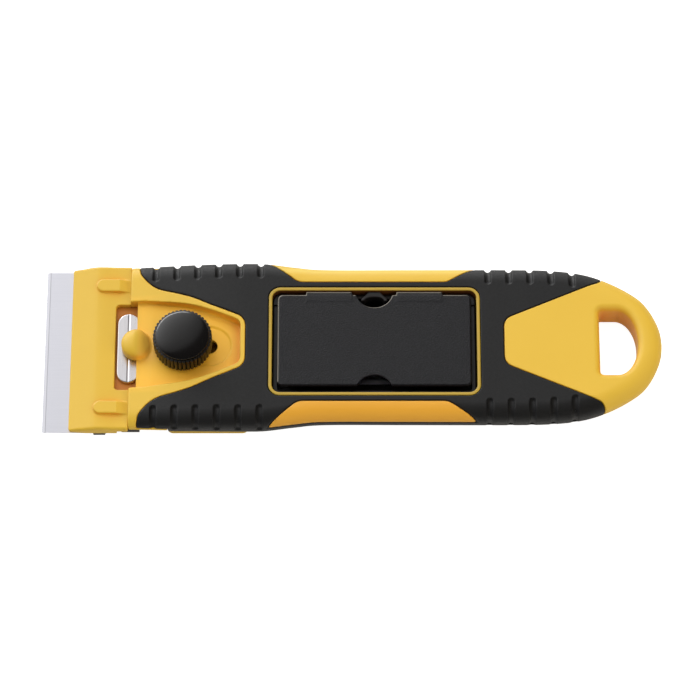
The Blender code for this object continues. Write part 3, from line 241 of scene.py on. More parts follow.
def settle(rules, points, touched, step):
    """The points moved onto the rules that they touch, by a grid step at most."""
    middle = points.copy()
    kinds = len(rules(*points[:1].T))
    for _ in range(SETTLE_ROUNDS):
        level, direction = slopes(rules, points)
        for kind in range(kinds):
            active = (touched >> kind & 1).astype(bool)
            slope = direction[kind][active]
            size = np.maximum((slope ** 2).sum(axis=1), FLATTEST_SLOPE)
            points[active] -= slope * (level[kind][active] / size)[:, None]
        points = middle + np.clip(points - middle, -step, step)
    return points


def quad_mesh(name, points, quads, normals):
    """An object of four-sided faces with a normal at each corner."""
    mesh = bpy.data.meshes.new(name)
    mesh.vertices.add(len(points))
    mesh.vertices.foreach_set("co", points.ravel())
    mesh.loops.add(quads.size)
    mesh.loops.foreach_set("vertex_index", quads.ravel())
    mesh.polygons.add(len(quads))
    mesh.polygons.foreach_set("loop_start", np.arange(len(quads)) * 4)
    mesh.update(calc_edges=True)
    mesh.validate()
    mesh.shade_smooth()
    if len(mesh.loops) == quads.size:
        mesh.normals_split_custom_set(normals.reshape(-1, 3))
    thing = bpy.data.objects.new(name, mesh)
    bpy.context.scene.collection.objects.link(thing)
    return thing


def surface(name, rules, low, high, step):
    """A closed mesh of the solid where every rule is negative, with crisp edges between the rules."""
    low = np.array(low, dtype=float) - GRID_LEAD * step
    count = tuple(int(size) for size in np.ceil((np.array(high) - low) / step) + GRID_SPARE)
    places, ring, flip = crossings(sample(rules, low, count, step), count)
    label = np.argmax(rules(*(low + places * step).T), axis=0)
    quads, middle, touched = gather(places, ring, label)
    points = settle(rules, low + middle * step, touched, step)
    directions = slopes(rules, points)[1]
    directions /= np.maximum(np.linalg.norm(directions, axis=2, keepdims=True), LEAST_NORMAL)
    quads[~flip] = quads[~flip][:, ::-1]
    return quad_mesh(name, points * MM, quads, directions[label[:, None], quads])


# Plan outlines, as shares of the handle's length and of a width
NOSE_SIDE_SHARES = [(0.0, 0.667), (0.087, 0.833), (0.17, 0.958), (0.225, 1.0), (0.26, 0.896), (0.312, 0.375),
                    (0.37, 0.0)]
TAIL_SIDE_SHARES = [(0.53, 1.0), (0.727, 1.0), (0.802, 0.984), (0.853, 0.937), (0.893, 0.853), (0.93, 0.732),
                    (0.961, 0.591), (0.979, 0.444), (0.9915, 0.282), (0.998, 0.141), (1.0, 0.0)]
NOSE_PARTING_SHARES = [(0.2169, 0.2867), (0.1538, 0.4416), (0.1179, 0.539), (0.0874, 0.5974), (0.0587, 0.643),
                       (0.0412, 0.698), (0.0254, 0.792), (0.0169, 0.883), (0.0142, 1.07)]
TAIL_PARTING_SHARES = [(0.7039, 0.288), (0.8893, 0.796), (0.8921, 1.16)]

# Sizes of the plan outlines. An outline that ends outside the handle runs on by an overrun.
OVER = 12.0
WAIST_HALF_WIDTH = 28.4
SIDE_INSET = 0.02
NOSE_CORNER = 4.5
NOSE_LINE_STEPS = 4
TAIL_FRONT_CORNER = 4.0
TAIL_REAR_CORNER = 3.0
WAIST_PANEL_Y = 22.3
WAIST_PANEL_BOTTOM = 8.3
WAIST_FRONT_SETBACK = 8.8
WAIST_REAR_SETBACK = 10.0
WAIST_FRONT_SLANT = 12.2
WAIST_REAR_SLANT = 16.0
WAIST_CORNER = 5.0
WAIST_OVER = 4.0
HOLE_FRONT_X = TAIL_X - 21.25
HOLE_STRAIGHT = 5.8
HOLE_ROUND_REACH = 7.2
HOLE_HALF_WIDTH = 12.0
HOLE_CORNER = 1.3
HOLE_POINTS = 49


def spline(points, steps=6):
    """A smooth line through points."""
    padded = [points[0]] + list(points) + [points[-1]]
    line = []
    for index in range(1, len(padded) - 2):
        before, start, end, after = (Vector(point) for point in padded[index - 1:index + 3])
        for step in range(steps):
            t = step / steps
            bend = (end - before) * t + (2 * before - 5 * start + 4 * end - after) * t * t
            twist = (3 * start - before - 3 * end + after) * t * t * t
            line.append(tuple(start + (bend + twist) / 2))
    line.append(tuple(points[-1]))
    return line


def fillet(corners, steps=8):
    """A closed outline from corners of x, y and radius."""
    outline = []
    for index, (x, y, radius) in enumerate(corners):
        if radius == 0:
            outline.append((x, y))
            continue
        here = Vector((x, y))
        back = (Vector(corners[index - 1][:2]) - here).normalized()
        ahead = (Vector(corners[(index + 1) % len(corners)][:2]) - here).normalized()
        half = back.angle(ahead) / 2
        centre = here + (back + ahead).normalized() * (radius / math.sin(half))
        spoke = here + back * (radius / math.tan(half)) - centre
        sweep = math.copysign(math.pi - 2 * half, -back.cross(ahead))
        for step in range(steps + 1):
            turn = sweep * step / steps
            outline.append((centre.x + spoke.x * math.cos(turn) - spoke.y * math.sin(turn),
                            centre.y + spoke.x * math.sin(turn) + spoke.y * math.cos(turn)))
    return outline


def on_handle(shares, width):
    """Plan points from shares of the handle's length and of a width."""
    return [(NOSE_X + along * HANDLE_LENGTH, across * width) for along, across in shares]


def both_sides(half):
    """A closed outline from its half on the hinge side."""
    return list(half) + [(x, -y, *radius) for x, y, *radius in reversed(half)]


def side_line():
    """The handle's side, drawn on in front of the nose."""
    swell = HANDLE_HALF_WIDTH - WAIST_HALF_WIDTH
    front = [(x, WAIST_HALF_WIDTH + y) for x, y in on_handle(NOSE_SIDE_SHARES, swell)]
    line = spline(front + on_handle(TAIL_SIDE_SHARES, WAIST_HALF_WIDTH))
    line = [(x, min(y, HANDLE_HALF_WIDTH - SIDE_INSET)) for x, y in line]
    return [(NOSE_X - OVER, line[0][1])] + line


def nose_outline():
    """The yellow deck's parting line."""
    first, *rest = on_handle(NOSE_PARTING_SHARES, HANDLE_HALF_WIDTH)
    line = spline(rest, NOSE_LINE_STEPS)
    half = [(NOSE_X - OVER, line[-1][1], 0)] + [(x, y, 0) for x, y in line[::-1]] + [(*first, NOSE_CORNER)]
    return fillet(both_sides(half))


def tail_outline():
    """The yellow tail's parting line."""
    line = on_handle(TAIL_PARTING_SHARES, WAIST_HALF_WIDTH)
    half = [(TAIL_X + OVER, line[-1][1], 0), (*line[2], 0), (*line[1], TAIL_REAR_CORNER),
            (*line[0], TAIL_FRONT_CORNER)]
    return fillet(both_sides(half))


def waist_outline():
    """The waist panel's parting line on the hinge side."""
    front = STORE_X - STORE_HALF_LENGTH + WAIST_FRONT_SETBACK
    rear = STORE_X + STORE_HALF_LENGTH - WAIST_REAR_SETBACK
    top = WAIST_HALF_WIDTH + WAIST_OVER
    return fillet([(front - WAIST_FRONT_SLANT, top, 0), (front, WAIST_PANEL_Y, WAIST_CORNER),
                   (rear, WAIST_PANEL_Y, WAIST_CORNER), (rear + WAIST_REAR_SLANT, top, 0)])


def hole_outline():
    """The hanging hole: flat in front, elliptic behind."""
    middle = HOLE_FRONT_X + HOLE_STRAIGHT
    rear = [(middle + HOLE_ROUND_REACH * math.sin(turn), -HOLE_HALF_WIDTH * math.cos(turn), 0)
            for turn in np.linspace(0, math.pi, HOLE_POINTS)]
    corners = [(HOLE_FRONT_X, y, HOLE_CORNER) for y in (HOLE_HALF_WIDTH, -HOLE_HALF_WIDTH)]
    return fillet(rear + corners)


PLAN = PlanMap(both_sides(side_line()))
NOSE = PlanMap(nose_outline())
TAIL = PlanMap(tail_outline())
WAIST = PlanMap(waist_outline())
HOLE = PlanMap(hole_outline())

# Guards against division by zero in the elliptic forms
LEAST_SIZE = 1e-5
LEAST_SLOPE = 1e-6
LEAST_DOME_SLOPE = 0.02


def top_at(x):
    """The level of the handle's top."""
    share = np.clip((x - NOSE_X) / NOSE_RISE, 0, 1)
    return NOSE_THICKNESS + (HANDLE_THICKNESS - NOSE_THICKNESS) * np.sin(share * math.pi / 2)


def handle_form(x, y, z):
    """The handle's outer form: elliptic sides, widest a little above the middle."""
    top = top_at(x)
    middle = top * WIDEST_LEVEL_SHARE
    across = np.maximum(PLAN(x, y) + HANDLE_EDGE_ROUND, 0)
    up = z - middle
    rise = np.where(up > 0, top - middle, middle)
    size = np.hypot(across / HANDLE_EDGE_ROUND, up / rise) + LEAST_SIZE
    slope = np.hypot(across / HANDLE_EDGE_ROUND ** 2, up / rise ** 2) + LEAST_SLOPE
    return size * (size - 1) / slope


# The spare blade pocket, and where the hard core comes through the rubber: its regions on the upper side
# end at the split level, and its sole begins there
STORE_CORNER = 2.8
STORE_FLOOR = 1.5
RIM_WIDTH = 1.1
SPLIT_LEVEL = 6.2
SOLE_INSET = 8.0
NOSE_SOLE_TOP = 6.6
CORE_SEAM = 0.05
RUBBER_SEAM = 0.20
GRIP_THICKNESS = 1.5


def store_plan(x, y, grow=0.0):
    """The spare blade pocket in plan."""
    return pad(x, y, STORE_X, 0, STORE_HALF_LENGTH + grow, STORE_HALF_WIDTH + grow, STORE_CORNER + grow)


def hard_plan(x, y, z):
    """Where the hard core comes through the rubber."""
    side = np.abs(y)
    regions = [NOSE(x, y), TAIL(x, y), np.maximum(WAIST(x, side), WAIST_PANEL_BOTTOM - z),
               np.maximum(store_plan(x, y, RIM_WIDTH), SPLIT_LEVEL - z),
               np.maximum(PLAN(x, y) + SOLE_INSET, z - SPLIT_LEVEL),
               np.maximum(x - BASE_X - FIT, z - NOSE_SOLE_TOP)]
    return np.minimum.reduce(regions)


# What is cut from the handle's front for the base cover
BASE_LENGTH = 27.5
BASE_CUT_LEAD = 4.0
BASE_CUT_HALF_WIDTH = 29.1
BASE_CUT_CORNER = 2.0
BASE_CUT_TOP = 1.9


def relief_rules(x, y, z):
    """What is cut from the handle's front for the blade carriage and the base cover."""
    under_nose = -np.maximum(x - BASE_X, z - SLIDER_TOP - FIT)
    middle = BASE_X + (BASE_LENGTH - BASE_CUT_LEAD + FIT) / 2
    half_length = (BASE_LENGTH + BASE_CUT_LEAD + FIT) / 2
    plan = pad(x, y, middle, 0, half_length, BASE_CUT_HALF_WIDTH, BASE_CUT_CORNER)
    return [under_nose, -np.maximum(plan, z - BASE_CUT_TOP)]


# The nub: a dome, cut behind by a slope of so much along the tool to so much up
NUB_LEVEL = 10.2
NUB_RADIUS = 5.15
NUB_RISE = 2.8
NUB_SLOPE_START = 0.6
NUB_SLOPE_LEVEL = 13.0
NUB_SLOPE_ALONG = 4.3
NUB_SLOPE_UP = 4.25
NUB_CREST_ROUND = 1.6
NUB_FILLET = 0.8


def nub_rule(x, y, z):
    """The low dome over the front edge of the deck, sloped away behind."""
    across = np.hypot(x - DECK_FRONT_X, y)
    up = np.maximum(z - NUB_LEVEL, 0)
    size = np.hypot(across / NUB_RADIUS, up / NUB_RISE)
    slope = np.hypot(across / NUB_RADIUS ** 2, up / NUB_RISE ** 2)
    dome = size * (size - 1) / np.maximum(slope, LEAST_DOME_SLOPE)
    along = (x - DECK_FRONT_X - NUB_SLOPE_START) * NUB_SLOPE_ALONG
    fall = (along + (z - NUB_SLOPE_LEVEL) * NUB_SLOPE_UP) / math.hypot(NUB_SLOPE_ALONG, NUB_SLOPE_UP)
    return np.maximum(overlap(dome, fall, NUB_CREST_ROUND), HEAD_TOP - z)


# The deck round the knob, with its slot
DECK_FLOOR = 8.1
DECK_WALL = 1.55
DECK_HALF_WIDTH = 16.06
DECK_CORNER = 5.0
DECK_FALL = 0.4
DECK_FALL_LENGTH = 5.3
DISH_RADIUS = 7.7
DISH_SLOPE = 0.9
DISH_DEPTH = 0.5
SLOT_HALF_WIDTH = 2.65
SOFT_FOOT_X = NOSE_X + 9.775
SOFT_FOOT_LENGTH = 5.0
FOOT_FILLET = 0.6
EDGE_ROUND = 0.3
RIM_ROUND = 0.35
LUG_ROUND = 0.6
HOLE_ROUND = 2.2
NOSE_CUT_ROUND = 0.5

# Room in the core for the head cover's arms, the key and the slider plate
ARM_ROOM_INNER_Y = 16.7
ARM_ROOM_OUTER_Y = 26.8
KEY_ROOM_LENGTH = 13.2
KEY_ROOM_HALF_WIDTH = 15.6
KEY_ROOM_TOP = 6.8
SLIDER_ROOM_LENGTH = 17.8
SLIDER_ROOM_HALF_WIDTH = 13.7
SLIDER_ROOM_TOP = 6.3


def deck_floor(x, slot):
    """The level of the deck's floor: a little lower in front, and dished round the slot."""
    dish = np.clip((DISH_RADIUS - slot) / DISH_SLOPE, 0, 1)
    fall = DECK_FALL * np.clip(1 - (x - DECK_FRONT_X) / DECK_FALL_LENGTH, 0, 1)
    return DECK_FLOOR - fall - DISH_DEPTH * dish * dish * (3 - 2 * dish)


def core_rules(x, y, z):
    """The hard yellow core."""
    side = np.abs(y)
    form = handle_form(x, y, z)
    hard = np.minimum(hard_plan(x, y, z) - CORE_SEAM, form + GRIP_THICKNESS + FIT)
    body = overlap(overlap(form, hard, EDGE_ROUND), NOSE_X - x, LUG_ROUND)
    slot = np.hypot(x - np.clip(x, KNOB_X, KNOB_X + BLADE_TRAVEL), y)
    pocket = overlap(NOSE(x, y) + DECK_WALL, side - DECK_HALF_WIDTH, DECK_CORNER)
    soft = FOOT_FILLET + FOOT_FILLET * np.clip((SOFT_FOOT_X - x) / SOFT_FOOT_LENGTH, 0, 1)
    body = overlap(body, blend(-pocket, z - deck_floor(x, slot), soft), RIM_ROUND)
    body = overlap(body, blend(-store_plan(x, y), z - STORE_FLOOR, FOOT_FILLET), RIM_ROUND)
    body = overlap(body, -HOLE(x, y), HOLE_ROUND)
    under_nose, under_cover = relief_rules(x, y, z)
    arms = [x - ARM_END_X - FIT, ARM_ROOM_INNER_Y - side, side - ARM_ROOM_OUTER_Y, z - HEAD_TOP - FIT]
    key_room = [x - KEY_X - KEY_ROOM_LENGTH, side - KEY_ROOM_HALF_WIDTH, z - KEY_ROOM_TOP]
    slider_room = [x - KNOB_X - SLIDER_ROOM_LENGTH, side - SLIDER_ROOM_HALF_WIDTH, z - SLIDER_ROOM_TOP]
    rooms = [[x - DECK_FRONT_X, side - DECK_HALF_WIDTH], arms, key_room, slider_room]
    rules = [under_cover] + [-np.maximum.reduce(room) for room in rooms] + [SLOT_HALF_WIDTH - slot]
    nub = nub_rule(x, y, z)
    body = blend(overlap(body, under_nose, NOSE_CUT_ROUND), nub, NUB_FILLET)
    return [body] + [np.minimum(rule, nub) for rule in rules]


# The thumb grooves, six in front and five behind
GROOVE_PITCH = 7.17
FRONT_GROOVE_X = NOSE_X + 8.5
REAR_GROOVE_X = TAIL_X - 58.8
GROOVES = [FRONT_GROOVE_X + GROOVE_PITCH * index for index in range(6)]
GROOVES += [REAR_GROOVE_X + GROOVE_PITCH * index for index in range(5)]
GROOVE_RADIUS = 1.15
GROOVE_RISE = 0.25
GROOVE_END = 3.9
GROOVE_END_NEAR_FRONT = 7.9
GROOVE_ROUND = 0.2
SKIN_ROUND = 0.35


def grip_rules(x, y, z):
    """The rubber skin with its thumb grooves."""
    form = handle_form(x, y, z)
    along = np.min([np.abs(x - place) for place in GROOVES], axis=0)
    inward = np.maximum(-PLAN(x, y) - HANDLE_EDGE_ROUND, 0)
    end = np.where((x < STORE_X) & (y < 0), GROOVE_END_NEAR_FRONT, GROOVE_END)
    below = np.maximum(end - z, 0)
    groove = GROOVE_RADIUS - np.sqrt(along ** 2 + (form - GROOVE_RISE) ** 2 + inward ** 2 + below ** 2)
    skin = overlap(form, groove, GROOVE_ROUND)
    skin = overlap(skin, RUBBER_SEAM - hard_plan(x, y, z), SKIN_ROUND)
    return [skin, -form - GRIP_THICKNESS, *relief_rules(x, y, z)]


# The head cover: distances behind its front edge with the levels of its top, and its sizes
HEAD_PROFILE = [(0.0, 5.2), (3.5, 6.2), (7.0, 7.2), (8.65, 7.6), (10.6, 7.6), (15.2, HEAD_TOP),
                (HEAD_LENGTH, HEAD_TOP)]
HEAD_SMOOTHING = 0.7
HEAD_SLOPE_SHARE = 0.93
HEAD_HALF_WIDTH = 30.5
HEAD_TAPER = 0.5
HEAD_TAPER_LENGTH = 5.8
HEAD_CORNER = 0.7
HEAD_EDGE_FRONT = 0.4
HEAD_EDGE_GROWTH = 0.6
HEAD_EDGE_LENGTH = 4.0
HEAD_SEAM = 0.03
HEAD_ROUND = 0.3
RIB_X = NOSE_X - 4.2
RIB_Y = 22.8
RIB_HALF_LENGTH = 7.5
RIB_HALF_WIDTH = 2.3
RIB_CORNER = 2.25
RIB_RISE = 1.4
RIB_RISE_START = 0.4
RIB_RISE_LENGTH = 3.5
RIB_ROUND = 0.5
ARM_FRONT_LAP = 4.0
ARM_INNER_Y = 17.0
ARM_OUTER_Y = 26.5
WINDOW_X = NOSE_X + 3.0
WINDOW_HALF_LENGTH = 7.95
WINDOW_HALF_WIDTH = 15.9
WINDOW_CORNER = 1.3
LIP_LEVEL = 3.6
LIP_RISE = 0.7
LIP_LENGTH = 2.5
CHANNEL_FRONT = 4.6
CHANNEL_HALF_WIDTH = 28.7
CHANNEL_OPEN_BEHIND = 16.35


def head_height(x):
    """The level of the head cover's top along the tool."""
    distances, levels = zip(*HEAD_PROFILE)
    return np.interp(x - HEAD_FRONT_X, distances, levels)


def head_rules(x, y, z):
    """The plate over the blade, with its lip, ribs, window, side walls and arms."""
    side = np.abs(y)
    behind = x - HEAD_FRONT_X
    height = (head_height(x - HEAD_SMOOTHING) + 2 * head_height(x) + head_height(x + HEAD_SMOOTHING)) / 4
    top = (z - height) * HEAD_SLOPE_SHARE
    rise = RIB_RISE * np.clip((NOSE_X - x - RIB_RISE_START) / RIB_RISE_LENGTH, 0, 1)
    rib = pad(x, side, RIB_X, RIB_Y, RIB_HALF_LENGTH, RIB_HALF_WIDTH, RIB_CORNER)
    rib = np.maximum(overlap(rib, z - HEAD_TOP - rise, RIB_ROUND), SLIDER_TOP - z)
    top = blend(top, rib, RIB_ROUND)
    wide = HEAD_HALF_WIDTH - HEAD_TAPER * np.clip(1 - behind / HEAD_TAPER_LENGTH, 0, 1)
    edge = HEAD_EDGE_FRONT + HEAD_EDGE_GROWTH * np.clip(behind / HEAD_EDGE_LENGTH, 0, 1)
    shell = overlap(overlap(side - wide, -behind, HEAD_CORNER), top, edge)
    shell = np.maximum(shell, x - NOSE_X + HEAD_SEAM)
    arm = [x - ARM_END_X, NOSE_X - ARM_FRONT_LAP - x, ARM_INNER_Y - side, side - ARM_OUTER_Y, z - HEAD_TOP]
    shell = np.minimum(shell, np.maximum.reduce(arm))
    window = pad(x, y, WINDOW_X, 0, WINDOW_HALF_LENGTH, WINDOW_HALF_WIDTH, WINDOW_CORNER)
    shell = overlap(shell, -window, HEAD_ROUND)
    lip = LIP_LEVEL + LIP_RISE * np.clip(1 - behind / LIP_LENGTH, 0, 1)
    channel = [CHANNEL_FRONT - behind, side - CHANNEL_HALF_WIDTH, z - SLIDER_TOP - FIT]
    open_end = np.maximum(CHANNEL_OPEN_BEHIND - behind, z - SLIDER_TOP - FIT)
    return [overlap(shell, lip - z, HEAD_ROUND), -np.maximum.reduce(channel), -open_end]


# The lid
LID_MIDDLE_Y = 0.5
LID_HALF_LENGTH = STORE_HALF_LENGTH - 1.85
LID_HALF_WIDTH = STORE_HALF_WIDTH - 2.0
LID_CORNER = 1.8
LID_EDGE_ROUND = 0.6
LID_UNDERSIDE = 10.9
LOBE_HALF_WIDTH = 1.75
LOBE_CORNER = 1.0
LOBE_LINK_Y = 14.9
LOBE_ROUND = 0.3
LOBE_FILLET = 0.25
NOTCH_RADIUS = 6.35
NOTCH_ROUND = 0.3


def lid_rules(x, y, z):
    """The lid with its rounded edge, two hinge lobes and two finger notches."""
    side = np.abs(y)
    plan = pad(x, y, STORE_X, LID_MIDDLE_Y, LID_HALF_LENGTH, LID_HALF_WIDTH, LID_CORNER)
    plate = overlap(plan, z - LID_TOP, LID_EDGE_ROUND)
    lobes = []
    for low, high in LOBE_SPANS:
        barrel = pad(y, z, HINGE_Y, HINGE_Z, LOBE_HALF_WIDTH, LID_TOP - HINGE_Z, LOBE_CORNER)
        link = np.maximum.reduce([z - LID_TOP, y - HINGE_Y, LOBE_LINK_Y - y])
        lobes.append(overlap(np.minimum(barrel, link), slab(x, low, high), LOBE_ROUND))
    notch = NOTCH_RADIUS - np.hypot(x - STORE_X, side - STORE_HALF_WIDTH)
    plate = overlap(np.maximum(plate, LID_UNDERSIDE - z), notch, NOTCH_ROUND)
    return [blend(plate, np.minimum(*lobes), LOBE_FILLET)]


# The box for spare blades
TRAY_WALL = 1.4
TRAY_BOTTOM = 1.8
TRAY_FLOOR = 3.0
TRAY_TOP = 9.3
TRAY_CORNER_TOP = 10.0
TRAY_CORNER_X = 29.0
TRAY_CORNER_Y = 14.5
TRAY_ROUND = 0.3
TONGUE_HALF_WIDTH = 2.0
TONGUE_FLARE = 3.0
TONGUE_NEAR_Y = 15.3
TONGUE_FAR_Y = 18.7
TONGUE_BOTTOM = 7.9
TONGUE_TOP = 11.6
ARCH_Y = 15.2
ARCH_HALF_WIDTH = 3.3
ARCH_RISE = 1.6
ARCH_ROUND = 0.2
CRADLE_NEAR_Y = 15.5
CRADLE_FAR_Y = 17.6
CRADLE_BOTTOM = 8.2
CRADLE_RADIUS = 2.0


def tray_rules(x, y, z):
    """The box for spare blades, with cradles for the lid's lobes and a tongue in its notch."""
    corner = np.maximum(TRAY_CORNER_X - np.abs(x - STORE_X), TRAY_CORNER_Y - y)
    top = np.minimum(z - TRAY_TOP, np.maximum(z - TRAY_CORNER_TOP, corner))
    room = np.maximum(store_plan(x, y, -FIT - TRAY_WALL), TRAY_FLOOR - z)
    rules = [overlap(store_plan(x, y, -FIT), top, TRAY_ROUND), TRAY_BOTTOM - z, -room]
    flare = TONGUE_FLARE * np.clip((TONGUE_FAR_Y - y) / (TONGUE_FAR_Y - TONGUE_NEAR_Y), 0, 1)
    tongue = np.maximum(np.abs(x - STORE_X) - TONGUE_HALF_WIDTH - flare, slab(y, TONGUE_NEAR_Y, TONGUE_FAR_Y))
    arch = ARCH_RISE - ARCH_RISE * np.hypot((x - STORE_X) / ARCH_HALF_WIDTH, (y - ARCH_Y) / ARCH_RISE)
    tongue = overlap(tongue, arch, ARCH_ROUND)
    added = overlap(tongue, slab(z, TONGUE_BOTTOM, TONGUE_TOP), TRAY_ROUND)
    seats = []
    for low, high in LOBE_SPANS:
        block = [slab(x, low, high), slab(y, CRADLE_NEAR_Y, CRADLE_FAR_Y), slab(z, CRADLE_BOTTOM, TRAY_TOP)]
        added = np.minimum(added, np.maximum.reduce(block))
        seat = np.hypot(y - HINGE_Y, z - HINGE_Z) - CRADLE_RADIUS
        seats.append(-np.maximum(slab(x, low - FIT, high + FIT), seat))
    return [np.minimum(rule, added) for rule in rules] + seats


# The blade key: a boss with round ends on two stems
KEY_RADIUS = 3.9
KEY_STRAIGHT = 9.0
KEY_TOP = 6.5
KEY_ROUND = 0.45
SCORE_RADIUS = 0.55
SCORE_LEVEL = 6.95
SCORE_ROUND = 0.1
STEM_Y = 8.0
STEM_RADIUS = 1.4
STEM_BOTTOM = 1.2
STEM_TOP = 6.0


def key_rules(x, y, z):
    """The bright boss in the window, with two stems into the bed."""
    side = np.abs(y)
    plan = np.hypot(x - KEY_X, np.maximum(side - KEY_STRAIGHT, 0)) - KEY_RADIUS
    score = SCORE_RADIUS - np.hypot(x - KEY_X, z - SCORE_LEVEL)
    top = overlap(overlap(plan, z - KEY_TOP, KEY_ROUND), score, SCORE_ROUND)
    boss = np.maximum(top, SLIDER_TOP + FIT - z)
    stem = np.maximum(np.hypot(x - KEY_X, side - STEM_Y) - STEM_RADIUS, slab(z, STEM_BOTTOM, STEM_TOP))
    return [np.minimum(boss, stem)]


def ring_mesh(name, loops):
    """A closed mesh from rings of points in millimetres, capped at both ends."""
    count = len(loops[0])
    points = np.array(loops, dtype=float).reshape(-1, 3) * MM
    faces = [tuple(range(count))[::-1], tuple(range(len(points) - count, len(points)))]
    for ring in range(len(loops) - 1):
        for index in range(count):
            low, after = ring * count + index, ring * count + (index + 1) % count
            faces.append((low, after, after + count, low + count))
    mesh = bpy.data.meshes.new(name)
    mesh.from_pydata(points.tolist(), [], faces)
    mesh.shade_smooth()
    mesh.set_sharp_from_angle(angle=math.radians(SHARP_DEGREES))
    thing = bpy.data.objects.new(name, mesh)
    bpy.context.scene.collection.objects.link(thing)
    return thing


# The knob: insets from its rim with their levels, and the radii and levels of its bore
KNOB_RADIUS = 10.0
KNOB_BOTTOM = 9.2
KNOB_TOP = 16.0
KNOB_TEETH = 44
TOOTH_SLICES = 12
TOOTH_DEPTH = 0.8
TOOTH_SHARPNESS = 0.6
KNOB_PROFILE = [(0.9, KNOB_BOTTOM), (0.45, 9.25), (0.15, 9.5), (0.0, 9.9), (0.0, 15.7), (0.12, 15.9),
                (0.35, KNOB_TOP)]
KNOB_BORE = [(8.2, KNOB_TOP), (7.8, KNOB_TOP), (7.8, 13.0), (4.5, 13.0), (4.5, 10.4), (2.65, 10.4),
             (2.65, KNOB_BOTTOM)]

# The cap: radii and levels of its stem and rim, and its dome
CAP_POINTS = 160
CAP_PROFILE = [(7.5, 13.3), (7.5, 16.3), (8.9, 16.3), (9.1, 16.38), (9.15, 16.55)]
DOME_RADIUS = 9.15
DOME_BOTTOM = 16.65
DOME_RISE = 1.95
DOME_FULLNESS = 0.9
DOME_STEPS = 22
DOME_FLAT_RADIUS = 0.3


def knob_ring(radii, angles, level):
    """A ring of points round the knob's axis."""
    return [(KNOB_X + radius * math.cos(angle), radius * math.sin(angle), level)
            for radius, angle in zip(radii, angles)]


def make_knob():
    """The knurled knob, open above for its cap."""
    count = KNOB_TEETH * TOOTH_SLICES
    angles = np.arange(count) * math.tau / count
    wave = np.abs(np.sin(angles * KNOB_TEETH / 2))
    depth = TOOTH_DEPTH * (1 - wave ** TOOTH_SHARPNESS)
    loops = [knob_ring(np.minimum(KNOB_RADIUS - depth, KNOB_RADIUS - inset), angles, level)
             for inset, level in KNOB_PROFILE]
    loops += [knob_ring(np.full(count, radius), angles, level) for radius, level in KNOB_BORE]
    knob = ring_mesh("knob_body", loops)
    # The two end caps give way to the flat underside between the rim and the bore
    bore = bmesh.new()
    bore.from_mesh(knob.data)
    caps = [face for face in bore.faces if len(face.verts) > 4]
    bmesh.ops.delete(bore, geom=caps, context="FACES_ONLY")
    rims = [edge for edge in bore.edges if edge.is_boundary]
    bmesh.ops.bridge_loops(bore, edges=rims)
    bmesh.ops.recalc_face_normals(bore, faces=bore.faces)
    bore.to_mesh(knob.data)
    bore.free()
    return knob


def make_cap():
    """The glossy domed cap."""
    angles = np.arange(CAP_POINTS) * math.tau / CAP_POINTS
    profile = list(CAP_PROFILE)
    for step in range(1, DOME_STEPS):
        turn = math.pi / 2 * step / DOME_STEPS
        radius = DOME_RADIUS * math.cos(turn) ** DOME_FULLNESS
        profile.append((radius, DOME_BOTTOM + DOME_RISE * math.sin(turn)))
    profile.append((DOME_FLAT_RADIUS, DOME_BOTTOM + DOME_RISE))
    loops = [knob_ring(np.full(CAP_POINTS, radius), angles, level) for radius, level in profile]
    return ring_mesh("cap_dome", loops)


def linear(red, green, blue):
    """A colour from screen values of 0 to 255."""
    values = []
    for value in (red, green, blue):
        share = value / 255
        values.append(share / 12.92 if share <= 0.04045 else ((share + 0.055) / 1.055) ** 2.4)
    return (*values, 1.0)


